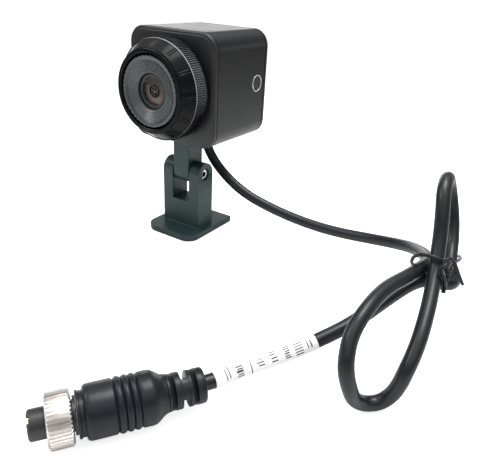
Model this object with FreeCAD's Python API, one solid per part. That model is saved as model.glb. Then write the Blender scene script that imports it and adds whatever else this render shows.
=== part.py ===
import FreeCAD, Part
import math
import os
from FreeCAD import Vector as V

os.makedirs("parts", exist_ok=True)

# ---------------------------------------------------------------- frame
# Millimetres.  +Z up, the lens looks along -Y, x = 0 is the plane of symmetry
# of the camera and its bracket.  The origin lies on the underside of the
# adhesive pad, straight below the middle of the tilt hinge.

# ---------------------------------------------------------------- bracket
PAD_T = 0.8
PLATE_T = 2.4
PLATE_W = 30.7
PLATE_Y0 = -17.0
PLATE_Y1 = 19.0
PLATE_R_FRONT = 6.6
PLATE_R_REAR = 0.8
POST_W = 23.0
POST_D = 11.9
SLOT_W = 10.8
SLOT_Z = 16.9
HINGE_Z = 31.8
PIN_R = 1.5
PIN_HOLE_R = 1.55
HEAD_R = 2.75
HEAD_H = 3.0
HEAD_RECESS = 0.9
CBORE_R = 3.1
NUT_AF = 5.5
NUT_T = 2.4

# ---------------------------------------------------------------- arm
ARM_W = 9.66
ARM_D = 11.5
WASHER_T = 0.5
WASHER_R = 4.6

# ---------------------------------------------------------------- camera case
CASE_W = 50.0
CASE_H = 51.4
CASE_R = 7.9
CASE_Z0 = 49.5
WALL = 2.2
Y_FRONT = -12.5
PANEL_T = 2.6
PANEL_CH = 1.4
GASKET_T = 0.4
GASKET_IN = 0.5
Y_REAR = 31.4
COVER_T = 2.0
LENS_Z = CASE_Z0 + CASE_H / 2.0
TUNNEL_X = 19.2
TUNNEL_Z = 19.9
TUNNEL_R = 3.0

# ---------------------------------------------------------------- lens
NECK_R = 18.5
RING_BORE_R = 18.57
RING_R = 23.0
RING_TOOTH = 0.42
RING_TEETH = 132
RING_Y0 = -14.2
RING_Y1 = -21.0
CONE_R1 = 22.4
RIM_R = 18.1
RIM_Y = -27.95
RIM_BORE_R = 16.46
BARREL_R = 14.5
MOUNT_BORE_R = 14.55
DISH_R = 15.95
SCALLOPS = 56
BOARD_HOLE = 15.2

# ---------------------------------------------------------------- side holes
SIDE_Y = 22.7
SIDE_Z = 76.6
SIDE_R = 4.05
SIDE_BORE = 3.45

# ---------------------------------------------------------------- cord
CORD_D = 5.1

# Corner points of the cord's route, from the case to the connector.
ROUTE = [
    (0.0, 13.4, 54.0), (0.0, 13.4, 46.0), (4.8, 15.4, 34.4), (16.4, 15.4, 25.4),
    (27.7, 15.8, 19.9), (41.0, 16.5, 16.5), (55.3, 17.0, 14.3), (69.8, 17.4, 13.4),
    (83.8, 17.3, 14.2), (97.0, 15.8, 16.5), (108.6, 11.8, 19.7), (118.1, 5.3, 23.5),
    (125.5, -4.1, 27.0), (129.7, -14.5, 29.6), (131.6, -27.3, 34.9), (129.3, -39.0, 33.6),
    (124.7, -52.2, 32.4), (123.3, -65.5, 31.5), (122.7, -73.2, 27.4), (124.1, -78.2, 21.9),
    (125.5, -79.3, 17.0), (126.9, -77.9, 11.5), (127.6, -74.9, 5.9), (130.2, -71.4, 2.58),
    (134.4, -68.1, 2.83), (137.3, -66.2, 6.7), (138.7, -65.7, 11.7), (139.3, -64.3, 15.9),
    (139.7, -60.6, 19.4), (139.5, -54.1, 24.1), (137.9, -42.6, 29.9), (135.5, -32.0, 36.4),
    (133.4, -24.9, 44.8), (131.6, -21.4, 52.8), (129.5, -16.9, 58.9), (128.5, -10.9, 61.5),
    (127.8, -4.4, 60.2), (128.4, 0.2, 55.3), (130.5, 1.3, 48.2), (133.1, -0.6, 40.7),
    (135.2, -5.6, 34.4), (137.0, -13.2, 30.5), (139.1, -18.3, 29.3), (141.3, -22.1, 28.9),
    (140.5, -26.4, 29.4), (136.9, -28.9, 29.9), (132.1, -28.5, 29.1), (128.2, -31.7, 26.7),
    (123.8, -38.5, 23.1), (118.4, -51.3, 19.3), (112.8, -60.5, 15.7), (102.6, -73.5, 10.6),
    (92.1, -89.5, 8.6), (88.29, -98.12, 8.3), (81.47, -107.88, 8.3),
]

# ---------------------------------------------------------------- connector
PLUG_TIP = V(58.13, -141.22, 8.3)
PLUG_ANGLE = 55.0134
BARREL_PLUG_R = 4.5
NUT_R = 8.28
NUT_FLUTES = 42
NUT_S0, NUT_S1 = 4.9, 11.9
BODY_S0 = 13.4
BODY_S1 = 38.9
RELIEF_S1 = 50.7


# ================================================================ helpers
def save(shape, name):
    shape.exportStep("parts/%s.step" % name)
    bb = shape.BoundBox
    print("%-20s vol %9.2f  x %7.2f %7.2f  y %7.2f %7.2f  z %7.2f %7.2f  solids %d valid %s" % (
        name, shape.Volume, bb.XMin, bb.XMax, bb.YMin, bb.YMax, bb.ZMin, bb.ZMax,
        len(shape.Solids), shape.isValid()))


def box(x0, x1, y0, y1, z0, z1):
    return Part.makeBox(x1 - x0, y1 - y0, z1 - z0, V(x0, y0, z0))


def cyl(r, h, p, d):
    return Part.makeCylinder(r, h, p, d)


def group(shapes):
    return Part.makeCompound(shapes)


def one(shape):
    """The single solid inside a result."""
    s = shape.Solids
    return s[0] if len(s) == 1 else Part.makeCompound(s)


def rounded_outline(w, h, r, y, zc):
    """Rounded rectangle in the plane y = const, centred on x = 0, z = zc."""
    a, b = w / 2.0, h / 2.0
    k = r * (1 - math.sqrt(0.5))
    e = []
    P = lambda x, z: V(x, y, zc + z)
    e.append(Part.LineSegment(P(-a + r, -b), P(a - r, -b)).toShape())
    e.append(Part.Arc(P(a - r, -b), P(a - k, -b + k), P(a, -b + r)).toShape())
    e.append(Part.LineSegment(P(a, -b + r), P(a, b - r)).toShape())
    e.append(Part.Arc(P(a, b - r), P(a - k, b - k), P(a - r, b)).toShape())
    e.append(Part.LineSegment(P(a - r, b), P(-a + r, b)).toShape())
    e.append(Part.Arc(P(-a + r, b), P(-a + k, b - k), P(-a, b - r)).toShape())
    e.append(Part.LineSegment(P(-a, b - r), P(-a, -b + r)).toShape())
    e.append(Part.Arc(P(-a, -b + r), P(-a + k, -b + k), P(-a + r, -b)).toShape())
    return Part.Wire(e)


def rounded_block(w, h, r, y0, y1, zc):
    f = Part.Face(rounded_outline(w, h, r, y0, zc))
    return f.extrude(V(0, y1 - y0, 0))


def revolve_y(points, zc):
    """Turn a closed (radius, y) outline about the lens axis."""
    pts = [V(r, y, zc) for r, y in points]
    pts.append(pts[0])
    f = Part.Face(Part.makePolygon(pts))
    return f.revolve(V(0, 0, zc), V(0, 1, 0), 360)


def star(n, r_out, r_in, f_top, f_root, at, xdir, ydir):
    """Closed outline with n straight-sided teeth."""
    pts = []
    for i in range(n):
        a0 = 2 * math.pi * i / n
        p = 2 * math.pi / n
        for r, a in ((r_out, a0 - p * f_top / 2), (r_out, a0 + p * f_top / 2),
                     (r_in, a0 + p * (0.5 - f_root / 2)), (r_in, a0 + p * (0.5 + f_root / 2))):
            pts.append(at + xdir * (r * math.cos(a)) + ydir * (r * math.sin(a)))
    pts.append(pts[0])
    return Part.Wire(Part.makePolygon(pts).Edges)


def rounded_route(points, start=None, end=None, report=None):
    """Straight runs joined by tangent arcs.  Each arc's radius is 0.45 of the
    shorter run over the tangent of half the turn."""
    P = [V(*p) for p in points]
    n = len(P)
    edges = []
    cur = P[0]
    radii = []
    for i in range(1, n - 1):
        a = P[i] - P[i - 1]
        b = P[i + 1] - P[i]
        la, lb = a.Length, b.Length
        ua, ub = a * (1 / la), b * (1 / lb)
        turn = math.acos(max(-1, min(1, ua.dot(ub))))
        t = 0.45 * min(la, lb)
        radius = t / math.tan(turn / 2)
        radii.append((i, radius, math.degrees(turn), la, lb))
        s = P[i] - ua * t
        e = P[i] + ub * t
        bis = (ub - ua)
        bis.normalize()
        centre = P[i] + bis * (radius / math.cos(turn / 2))
        m = centre - bis * radius
        edges.append(Part.LineSegment(cur, s).toShape())
        edges.append(Part.Arc(s, m, e).toShape())
        cur = e
    edges.append(Part.LineSegment(cur, P[-1]).toShape())
    w = Part.Wire(edges)
    if report:
        low = min(radii, key=lambda q: q[1])
        print("%s: length %.1f mm, least radius %.1f mm at point %d (turn %.0f deg), least run %.1f, most %.1f" % (
            report, w.Length, low[1], low[0], low[2],
            min(min(q[3], q[4]) for q in radii), max(max(q[3], q[4]) for q in radii)))
        print("  radii " + " ".join("%.0f" % q[1] for q in radii))
    return w


def tube(wire, r_out, r_in=0.0):
    e = wire.Edges[0]
    p = e.Vertexes[0].Point
    d = e.tangentAt(e.FirstParameter)
    out = []
    for r in (r_out, r_in):
        if r <= 0:
            continue
        c = Part.Wire([Part.Circle(p, d, r).toShape()])
        out.append(wire.makePipeShell([c], True, False))
    s = out[0]
    if len(out) == 2:
        s = s.cut(out[1])
    return one(s)


# ================================================================ bracket
def make_bracket():
    z0, z1 = PAD_T, PAD_T + PLATE_T
    a = PLATE_W / 2.0
    rf, rr = PLATE_R_FRONT, PLATE_R_REAR
    k = 1 - math.sqrt(0.5)
    P = lambda x, y: V(x, y, z0)
    e = [
        Part.LineSegment(P(-a + rf, PLATE_Y0), P(a - rf, PLATE_Y0)).toShape(),
        Part.Arc(P(a - rf, PLATE_Y0), P(a - rf * k, PLATE_Y0 + rf * k), P(a, PLATE_Y0 + rf)).toShape(),
        Part.LineSegment(P(a, PLATE_Y0 + rf), P(a, PLATE_Y1 - rr)).toShape(),
        Part.Arc(P(a, PLATE_Y1 - rr), P(a - rr * k, PLATE_Y1 - rr * k), P(a - rr, PLATE_Y1)).toShape(),
        Part.LineSegment(P(a - rr, PLATE_Y1), P(-a + rr, PLATE_Y1)).toShape(),
        Part.Arc(P(-a + rr, PLATE_Y1), P(-a + rr * k, PLATE_Y1 - rr * k), P(-a, PLATE_Y1 - rr)).toShape(),
        Part.LineSegment(P(-a, PLATE_Y1 - rr), P(-a, PLATE_Y0 + rf)).toShape(),
        Part.Arc(P(-a, PLATE_Y0 + rf), P(-a + rf * k, PLATE_Y0 + rf * k), P(-a + rf, PLATE_Y0)).toShape(),
    ]
    wire = Part.Wire(e)
    plate = Part.Face(wire).extrude(V(0, 0, PLATE_T))
    # post with a full-round top about the hinge
    h = POST_D / 2.0
    pr = [
        Part.LineSegment(V(-POST_W / 2, -h, z1 - 0.5), V(-POST_W / 2, -h, HINGE_Z)).toShape(),
        Part.Arc(V(-POST_W / 2, -h, HINGE_Z), V(-POST_W / 2, 0, HINGE_Z + h), V(-POST_W / 2, h, HINGE_Z)).toShape(),
        Part.LineSegment(V(-POST_W / 2, h, HINGE_Z), V(-POST_W / 2, h, z1 - 0.5)).toShape(),
        Part.LineSegment(V(-POST_W / 2, h, z1 - 0.5), V(-POST_W / 2, -h, z1 - 0.5)).toShape(),
    ]
    post = Part.Face(Part.Wire(pr)).extrude(V(POST_W, 0, 0))
    body = plate.fuse(post).removeSplitter()
    # fillet where the post meets the plate, and on the post's upright edges
    foot = [ed for ed in body.Edges
            if abs(ed.BoundBox.ZMin - z1) < 1e-3 and abs(ed.BoundBox.ZMax - z1) < 1e-3
            and abs(ed.CenterOfMass.x) <= POST_W / 2 + 0.01 and abs(ed.CenterOfMass.y) <= h + 0.01]
    try:
        body = body.makeFillet(0.35, foot)
    except Exception as err:
        print("foot fillet left out:", err)
    ups = [ed for ed in body.Edges
           if ed.BoundBox.ZMax - ed.BoundBox.ZMin > 20 and abs(abs(ed.CenterOfMass.x) - POST_W / 2) < 0.2]
    top = [ed for ed in body.Edges
           if abs(ed.BoundBox.ZMax - z1) < 1e-3 and abs(ed.BoundBox.ZMin - z1) < 1e-3
           and (abs(ed.CenterOfMass.y - PLATE_Y0) < 2.5 or abs(ed.CenterOfMass.y - PLATE_Y1) < 0.5
                or abs(abs(ed.CenterOfMass.x) - a) < 0.5)]
    try:
        body = body.makeFillet(0.35, top)
    except Exception as err:
        print("plate edge left sharp:", err)
    body = body.cut(box(-SLOT_W / 2, SLOT_W / 2, -20, 20, SLOT_Z, 60))
    # hinge: counterbore for the screw head on +X, plain hole, nut pocket on -X
    ax = V(1, 0, 0)
    body = body.cut(cyl(PIN_HOLE_R, 60, V(-30, 0, HINGE_Z), ax))
    body = body.cut(cyl(CBORE_R, 10, V(POST_W / 2 - HEAD_H - HEAD_RECESS, 0, HINGE_Z), ax))
    rn = (NUT_AF + 0.1) / 2 / math.cos(math.pi / 6)
    hexp = [V(-POST_W / 2 - 1, rn * math.cos(math.pi / 3 * i), HINGE_Z + rn * math.sin(math.pi / 3 * i)) for i in range(7)]
    body = body.cut(Part.Face(Part.makePolygon(hexp)).extrude(V(1 + NUT_T + 0.6, 0, 0)))
    return one(body)


save(make_bracket(), "bracket")

# adhesive pad, a little smaller than the plate
_a = PLATE_W / 2.0 - 0.35
_rf = PLATE_R_FRONT - 0.35
_pad = [V(-_a, PLATE_Y1 - 0.35, 0), V(-_a, PLATE_Y0 + 0.35 + _rf, 0)]
_y0 = PLATE_Y0 + 0.35
_y1 = PLATE_Y1 - 0.35
_k = _rf * (1 - math.sqrt(0.5))
_pe = [
    Part.LineSegment(V(-_a + _rf, _y0, 0), V(_a - _rf, _y0, 0)).toShape(),
    Part.Arc(V(_a - _rf, _y0, 0), V(_a - _k, _y0 + _k, 0), V(_a, _y0 + _rf, 0)).toShape(),
    Part.LineSegment(V(_a, _y0 + _rf, 0), V(_a, _y1, 0)).toShape(),
    Part.LineSegment(V(_a, _y1, 0), V(-_a, _y1, 0)).toShape(),
    Part.LineSegment(V(-_a, _y1, 0), V(-_a, _y0 + _rf, 0)).toShape(),
    Part.Arc(V(-_a, _y0 + _rf, 0), V(-_a + _k, _y0 + _k, 0), V(-_a + _rf, _y0, 0)).toShape(),
]
save(Part.Face(Part.Wire(_pe)).extrude(V(0, 0, PAD_T)), "adhesive_pad")

# ---------------------------------------------------------------- hinge screw, nut, washers
_hx = POST_W / 2 - HEAD_RECESS
_shank_end = -POST_W / 2 + 0.3
_screw = cyl(HEAD_R, HEAD_H, V(_hx - HEAD_H, 0, HINGE_Z), V(1, 0, 0))
_screw = _screw.makeChamfer(0.25, [e for e in _screw.Edges if abs(e.BoundBox.XMin - _hx) < 1e-3 and abs(e.BoundBox.XMax - _hx) < 1e-3])
_hr = 2.5 / 2 / math.cos(math.pi / 6)
_hex = [V(_hx + 0.1, _hr * math.cos(math.pi / 3 * i + 0.4), HINGE_Z + _hr * math.sin(math.pi / 3 * i + 0.4)) for i in range(7)]
_screw = _screw.cut(Part.Face(Part.makePolygon(_hex)).extrude(V(-1.7, 0, 0)))
_screw = _screw.fuse(cyl(PIN_R, _hx - HEAD_H - _shank_end + 0.5, V(_shank_end, 0, HINGE_Z), V(1, 0, 0)))
save(one(_screw.removeSplitter()), "hinge_screw")

_rn = NUT_AF / 2 / math.cos(math.pi / 6)
_hex = [V(-POST_W / 2 + 0.5, _rn * math.cos(math.pi / 3 * i), HINGE_Z + _rn * math.sin(math.pi / 3 * i)) for i in range(7)]
_nut = Part.Face(Part.makePolygon(_hex)).extrude(V(NUT_T, 0, 0))
_nut = _nut.cut(cyl(PIN_R + 0.01, 10, V(-POST_W / 2 - 1, 0, HINGE_Z), V(1, 0, 0)))
save(one(_nut), "hinge_nut")

_w = []
for _s in (-1, 1):
    _x0 = ARM_W / 2 + 0.035 if _s > 0 else -ARM_W / 2 - 0.035 - WASHER_T
    _c = cyl(WASHER_R, WASHER_T, V(_x0, 0, HINGE_Z), V(1, 0, 0))
    _w.append(_c.cut(cyl(PIN_HOLE_R, 3, V(_x0 - 1, 0, HINGE_Z), V(1, 0, 0))))
save(group(_w), "hinge_washers")

# ================================================================ arm
_ar = ARM_D / 2
_ae = [
    Part.LineSegment(V(-ARM_W / 2, -_ar, CASE_Z0 - 0.02), V(-ARM_W / 2, -_ar, HINGE_Z)).toShape(),
    Part.Arc(V(-ARM_W / 2, -_ar, HINGE_Z), V(-ARM_W / 2, 0, HINGE_Z - _ar), V(-ARM_W / 2, _ar, HINGE_Z)).toShape(),
    Part.LineSegment(V(-ARM_W / 2, _ar, HINGE_Z), V(-ARM_W / 2, _ar, CASE_Z0 - 0.02)).toShape(),
    Part.LineSegment(V(-ARM_W / 2, _ar, CASE_Z0 - 0.02), V(-ARM_W / 2, -_ar, CASE_Z0 - 0.02)).toShape(),
]
_arm = Part.Face(Part.Wire(_ae)).extrude(V(ARM_W, 0, 0))
_arm = _arm.makeFillet(0.4, [e for e in _arm.Edges if e.BoundBox.XMax - e.BoundBox.XMin < 0.01 and e.BoundBox.ZMin < HINGE_Z + 0.5])
_arm = _arm.cut(cyl(PIN_HOLE_R, 40, V(-20, 0, HINGE_Z), V(1, 0, 0)))
for _y in (-3.2, 3.2):
    _arm = _arm.cut(cyl(1.25, 7.0, V(0, _y, CASE_Z0 - 7.0), V(0, 0, 1)))
save(one(_arm), "tilt_arm")

_s = []
for _y in (-3.2, 3.2):
    _c = cyl(2.2, 1.3, V(0, _y, CASE_Z0 + WALL + 0.02), V(0, 0, 1))
    _c = _c.fuse(cyl(1.22, WALL + 6.02, V(0, _y, CASE_Z0 - 6.0), V(0, 0, 1)))
    _c = _c.cut(box(-0.25, 0.25, _y - 1.6, _y + 1.6, CASE_Z0 + WALL + 0.8, CASE_Z0 + WALL + 3))
    _s.append(one(_c.removeSplitter()))
save(group(_s), "arm_screws")

# ================================================================ case
Y_SLEEVE0 = Y_FRONT + PANEL_T + GASKET_T
Y_SLEEVE1 = Y_REAR - COVER_T - GASKET_T


def make_sleeve():
    s = rounded_block(CASE_W, CASE_H, CASE_R, Y_SLEEVE0, Y_SLEEVE1, LENS_Z)
    inner = rounded_block(CASE_W - 2 * WALL, CASE_H - 2 * WALL, CASE_R - WALL, Y_SLEEVE0 - 1, Y_SLEEVE1 + 1, LENS_Z)
    s = s.cut(inner)
    # corner tunnels for the long case screws
    for sx in (-1, 1):
        for sz in (-1, 1):
            c = cyl(TUNNEL_R, Y_SLEEVE1 - Y_SLEEVE0, V(sx * TUNNEL_X, Y_SLEEVE0, LENS_Z + sz * TUNNEL_Z), V(0, 1, 0))
            c = c.common(rounded_block(CASE_W - 0.4, CASE_H - 0.4, CASE_R - 0.2, Y_SLEEVE0, Y_SLEEVE1, LENS_Z))
            s = s.fuse(c)
    s = s.removeSplitter()
    for sx in (-1, 1):
        for sz in (-1, 1):
            s = s.cut(cyl(1.4, 80, V(sx * TUNNEL_X, -30, LENS_Z + sz * TUNNEL_Z), V(0, 1, 0)))
    # side holes, cable outlet, arm screw holes
    s = s.cut(cyl(SIDE_R, 80, V(-40, SIDE_Y, SIDE_Z), V(1, 0, 0)))
    s = s.cut(cyl(4.3, 8, V(0, 13.4, CASE_Z0 - 3), V(0, 0, 1)))
    for y in (-3.2, 3.2):
        s = s.cut(cyl(1.3, 8, V(0, y, CASE_Z0 - 3), V(0, 0, 1)))
    return one(s)


save(make_sleeve(), "case_sleeve")


def make_panel():
    s = rounded_block(CASE_W, CASE_H, CASE_R, Y_FRONT, Y_FRONT + PANEL_T, LENS_Z)
    rim = [e for e in s.Edges if abs(e.BoundBox.YMin - Y_FRONT) < 1e-3 and abs(e.BoundBox.YMax - Y_FRONT) < 1e-3]
    s = s.makeChamfer(PANEL_CH, rim)
    s = s.cut(cyl(NECK_R + 0.1, 20, V(0, -20, LENS_Z), V(0, 1, 0)))
    for sx in (-1, 1):
        for sz in (-1, 1):
            s = s.cut(cyl(1.05, 1.8, V(sx * TUNNEL_X, Y_FRONT + PANEL_T - 1.6, LENS_Z + sz * TUNNEL_Z), V(0, 1, 0)))
    for i in range(3):
        a = math.radians(90 + 120 * i)
        s = s.cut(cyl(0.85, 2.0, V(20.4 * math.cos(a), Y_FRONT + PANEL_T - 1.7, LENS_Z + 20.4 * math.sin(a)), V(0, 1, 0)))
    return one(s)


save(make_panel(), "front_panel")


def make_gasket(y0):
    s = rounded_block(CASE_W - 2 * GASKET_IN, CASE_H - 2 * GASKET_IN, CASE_R - GASKET_IN, y0, y0 + GASKET_T, LENS_Z)
    s = s.cut(rounded_block(CASE_W - 2 * WALL, CASE_H - 2 * WALL, CASE_R - WALL, y0 - 1, y0 + 2, LENS_Z))
    return one(s)


save(make_gasket(Y_FRONT + PANEL_T), "front_gasket")
save(make_gasket(Y_SLEEVE1), "rear_gasket")


def make_cover():
    s = rounded_block(CASE_W, CASE_H, CASE_R, Y_REAR - COVER_T, Y_REAR, LENS_Z)
    edge = [e for e in s.Edges if abs(e.BoundBox.YMin - Y_REAR) < 1e-3 and abs(e.BoundBox.YMax - Y_REAR) < 1e-3]
    s = s.makeChamfer(0.5, edge)
    lip = rounded_block(CASE_W - 2 * WALL - 0.3, CASE_H - 2 * WALL - 0.3, CASE_R - WALL - 0.15,
                        Y_REAR - COVER_T - 2.0, Y_REAR - COVER_T + 0.2, LENS_Z)
    lip = lip.cut(rounded_block(CASE_W - 2 * WALL - 3.3, CASE_H - 2 * WALL - 3.3, CASE_R - WALL - 1.65,
                                Y_REAR - COVER_T - 3.0, Y_REAR - COVER_T, LENS_Z))
    for sx in (-1, 1):
        for sz in (-1, 1):
            lip = lip.cut(cyl(TUNNEL_R + 0.4, 10, V(sx * TUNNEL_X, Y_REAR - COVER_T - 5, LENS_Z + sz * TUNNEL_Z), V(0, 1, 0)))
    lip = lip.cut(box(-30, 30, 0, 60, LENS_Z + TUNNEL_Z - 3.4, LENS_Z + 40)).cut(box(-30, 30, 0, 60, LENS_Z - 40, LENS_Z - TUNNEL_Z + 3.4))
    s = s.fuse(lip).removeSplitter()
    for sx in (-1, 1):
        for sz in (-1, 1):
            p = V(sx * TUNNEL_X, Y_REAR - COVER_T - 1, LENS_Z + sz * TUNNEL_Z)
            s = s.cut(cyl(1.4, 10, p, V(0, 1, 0)))
            s = s.cut(Part.makeCone(1.4, 2.75, 1.35, V(p.x, Y_REAR - 1.35 + 0.01, p.z), V(0, 1, 0)))
    return one(s)


save(make_cover(), "rear_cover")

_s = []
for _sx in (-1, 1):
    for _sz in (-1, 1):
        _p = V(_sx * TUNNEL_X, Y_FRONT + PANEL_T - 1.4, LENS_Z + _sz * TUNNEL_Z)
        _y1 = Y_REAR - 0.1
        _c = cyl(1.0, _y1 - 1.0 - _p.y, _p, V(0, 1, 0))
        _c = _c.fuse(Part.makeCone(1.0, 2.35, 1.35, V(_p.x, _y1 - 1.35, _p.z), V(0, 1, 0)))
        for _a in (0, 90):
            _b = box(-1.3, 1.3, 0, 2, -0.28, 0.28)
            _b.translate(V(0, _y1 - 0.7, 0))
            _b.rotate(V(0, 0, 0), V(0, 1, 0), _a + 20)
            _b.translate(V(_p.x, 0, _p.z))
            _c = _c.cut(_b)
        _s.append(one(_c.removeSplitter()))
save(group(_s), "case_screws")

# ---------------------------------------------------------------- side hole rings and plugs
_r = []
_q = []
for _s in (-1, 1):
    _x = _s * CASE_W / 2
    _d = V(_s, 0, 0)
    _c0 = V(_x - _s * 1.6, SIDE_Y, SIDE_Z)
    _ring = cyl(SIDE_R - 0.02, 1.6 + 0.28, _c0, _d)
    _ring = _ring.makeFillet(0.2, [e for e in _ring.Edges if abs(abs(e.BoundBox.XMin) - (CASE_W / 2 + 0.28)) < 1e-3 and abs(e.BoundBox.XMax - e.BoundBox.XMin) < 1e-3])
    _ring = _ring.cut(cyl(SIDE_BORE + 0.02, 6, V(_x - _s * 3, SIDE_Y, SIDE_Z), _d))
    _r.append(one(_ring))
    _pl = cyl(SIDE_BORE, 2.4, V(_x - _s * 2.4, SIDE_Y, SIDE_Z), _d)
    _pl = _pl.fuse(cyl(4.3, 0.7, V(_x - _s * 3.0, SIDE_Y, SIDE_Z), _d))
    _q.append(one(_pl.removeSplitter()))
save(group(_r), "side_rings")
save(group(_q), "side_plugs")

# ---------------------------------------------------------------- cable outlet
_g = cyl(5.6, 1.4, V(0, 13.4, CASE_Z0 - 1.42), V(0, 0, 1))
_g = _g.makeFillet(0.6, [e for e in _g.Edges if abs(e.BoundBox.ZMax - (CASE_Z0 - 1.42)) < 1e-3])
_g = _g.fuse(cyl(4.25, WALL + 0.1, V(0, 13.4, CASE_Z0 - 0.1), V(0, 0, 1)))
_g = _g.fuse(cyl(5.4, 1.2, V(0, 13.4, CASE_Z0 + WALL + 0.02), V(0, 0, 1))).fuse(cyl(4.25, 0.3, V(0, 13.4, CASE_Z0 + WALL - 0.1), V(0, 0, 1)))
_g = _g.cut(cyl(CORD_D / 2 + 0.05, 20, V(0, 13.4, CASE_Z0 - 5), V(0, 0, 1)))
_g = _g.cut(Part.makeCone(CORD_D / 2 + 0.35, CORD_D / 2 + 0.05, 2.5, V(0, 13.4, CASE_Z0 - 1.5), V(0, 0, 1)))
save(one(_g.removeSplitter()), "cable_grommet")

_c = cyl(4.0, 1.6, V(0, 13.4, CASE_Z0 + WALL + 1.3), V(0, 0, 1)).cut(cyl(CORD_D / 2 + 0.05, 9, V(0, 13.4, CASE_Z0), V(0, 0, 1)))
_c = _c.cut(box(-0.4, 0.4, 13.4, 20, 40, 70))
save(one(_c), "cable_clamp")

# ================================================================ lens
lens_axis = V(0, 1, 0)


def make_mount():
    s = revolve_y([(MOUNT_BORE_R, -19.3), (NECK_R, -19.3), (NECK_R, Y_FRONT + PANEL_T + 0.1),
                   (21.9, Y_FRONT + PANEL_T + 0.1), (21.9, Y_FRONT + PANEL_T + 2.2), (10.0, Y_FRONT + PANEL_T + 2.2),
                   (10.0, -10.6), (MOUNT_BORE_R, -10.6)], LENS_Z)
    # clear the corner tunnels and the side walls
    s = s.fuse(rounded_block(22, 22, 1.0, Y_FRONT + PANEL_T + 2.1, -2.4, LENS_Z).cut(box(-9, 9, -20, 20, LENS_Z - 9, LENS_Z + 9)))
    for sx in (-1, 1):
        for sz in (-1, 1):
            s = s.fuse(cyl(2.2, 6.9, V(sx * BOARD_HOLE, -9.3, LENS_Z + sz * BOARD_HOLE), V(0, 1, 0)))
    for sx in (-1, 1):
        for sz in (-1, 1):
            s = s.cut(cyl(0.93, 5.0, V(sx * BOARD_HOLE, -6.9, LENS_Z + sz * BOARD_HOLE), V(0, 1, 0)))
    for i in range(3):
        a = math.radians(90 + 120 * i)
        s = s.cut(cyl(0.95, 6.0, V(20.4 * math.cos(a), -12, LENS_Z + 20.4 * math.sin(a)), V(0, 1, 0)))
    for sx in (-1, 1):
        for sz in (-1, 1):
            s = s.cut(cyl(TUNNEL_R + 0.4, 20, V(sx * TUNNEL_X, -11, LENS_Z + sz * TUNNEL_Z), V(0, 1, 0)))
    return one(s.removeSplitter())


save(make_mount(), "lens_mount")

_s = []
for _i in range(3):
    _a = math.radians(90 + 120 * _i)
    _p = V(20.4 * math.cos(_a), Y_FRONT + PANEL_T - 1.5, LENS_Z + 20.4 * math.sin(_a))
    _c = cyl(0.8, 1.5 + 2.4, _p, V(0, 1, 0)).fuse(cyl(1.6, 0.9, V(_p.x, Y_FRONT + PANEL_T + 2.22, _p.z), V(0, 1, 0)))
    _s.append(one(_c.removeSplitter()))
save(group(_s), "mount_screws")


def make_ring():
    s = revolve_y([
        (RING_BORE_R, RING_Y0), (RING_R - RING_TOOTH, RING_Y0), (RING_R - RING_TOOTH, RING_Y1),
        (CONE_R1 + 0.1, RING_Y1), (CONE_R1, RING_Y1 - 0.1), (CONE_R1, RING_Y1 + 0.05), (CONE_R1 - 0.45, RING_Y1 + 0.05),
        (CONE_R1 - 0.5, RING_Y1 - 0.35),
        (RIM_R + 0.55, RIM_Y + 1.0), (RIM_R + 0.2, RIM_Y + 0.9), (RIM_R + 0.2, RIM_Y + 0.3), (RIM_R - 0.1, RIM_Y),
        (RIM_BORE_R + 0.55, RIM_Y), (RIM_BORE_R + 0.4, RIM_Y + 0.35), (RIM_BORE_R, RIM_Y + 0.35),
        (RIM_BORE_R, -19.9), (RING_BORE_R, -19.9)], LENS_Z)
    teeth = Part.Face(star(RING_TEETH, RING_R, RING_R - RING_TOOTH, 0.42, 0.22, V(0, RING_Y0, LENS_Z), V(1, 0, 0), V(0, 0, 1)))
    teeth = teeth.cut(Part.Face(Part.Wire([Part.Circle(V(0, RING_Y0, LENS_Z), V(0, 1, 0), RING_R - 2.0).toShape()])))
    teeth = teeth.extrude(V(0, RING_Y1 - RING_Y0, 0))
    s = s.fuse(teeth).removeSplitter()
    return s


def grip_grooves(s):
    # pairs of short grooves along the cone
    n = 10
    slope = math.atan2(CONE_R1 - RIM_R - 0.9, (RING_Y1 - 0.35) - (RIM_Y + 1.0))
    for i in range(n):
        for d in (-1, 1):
            t = box(-0.22, 0.22, -2.6, 2.6, -0.28, 2.0)
            t.rotate(V(0, 0, 0), V(1, 0, 0), math.degrees(slope))
            rm = (CONE_R1 + RIM_R + 0.1) / 2.0
            t.translate(V(d * 0.75, (RING_Y1 + RIM_Y) / 2.0 + 0.25, rm))
            t.rotate(V(0, 0, 0), V(0, 1, 0), 360.0 / n * i + 11)
            t.translate(V(0, 0, LENS_Z))
            s = s.cut(t)
    return s


save(one(grip_grooves(make_ring())), "lens_ring")


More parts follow.
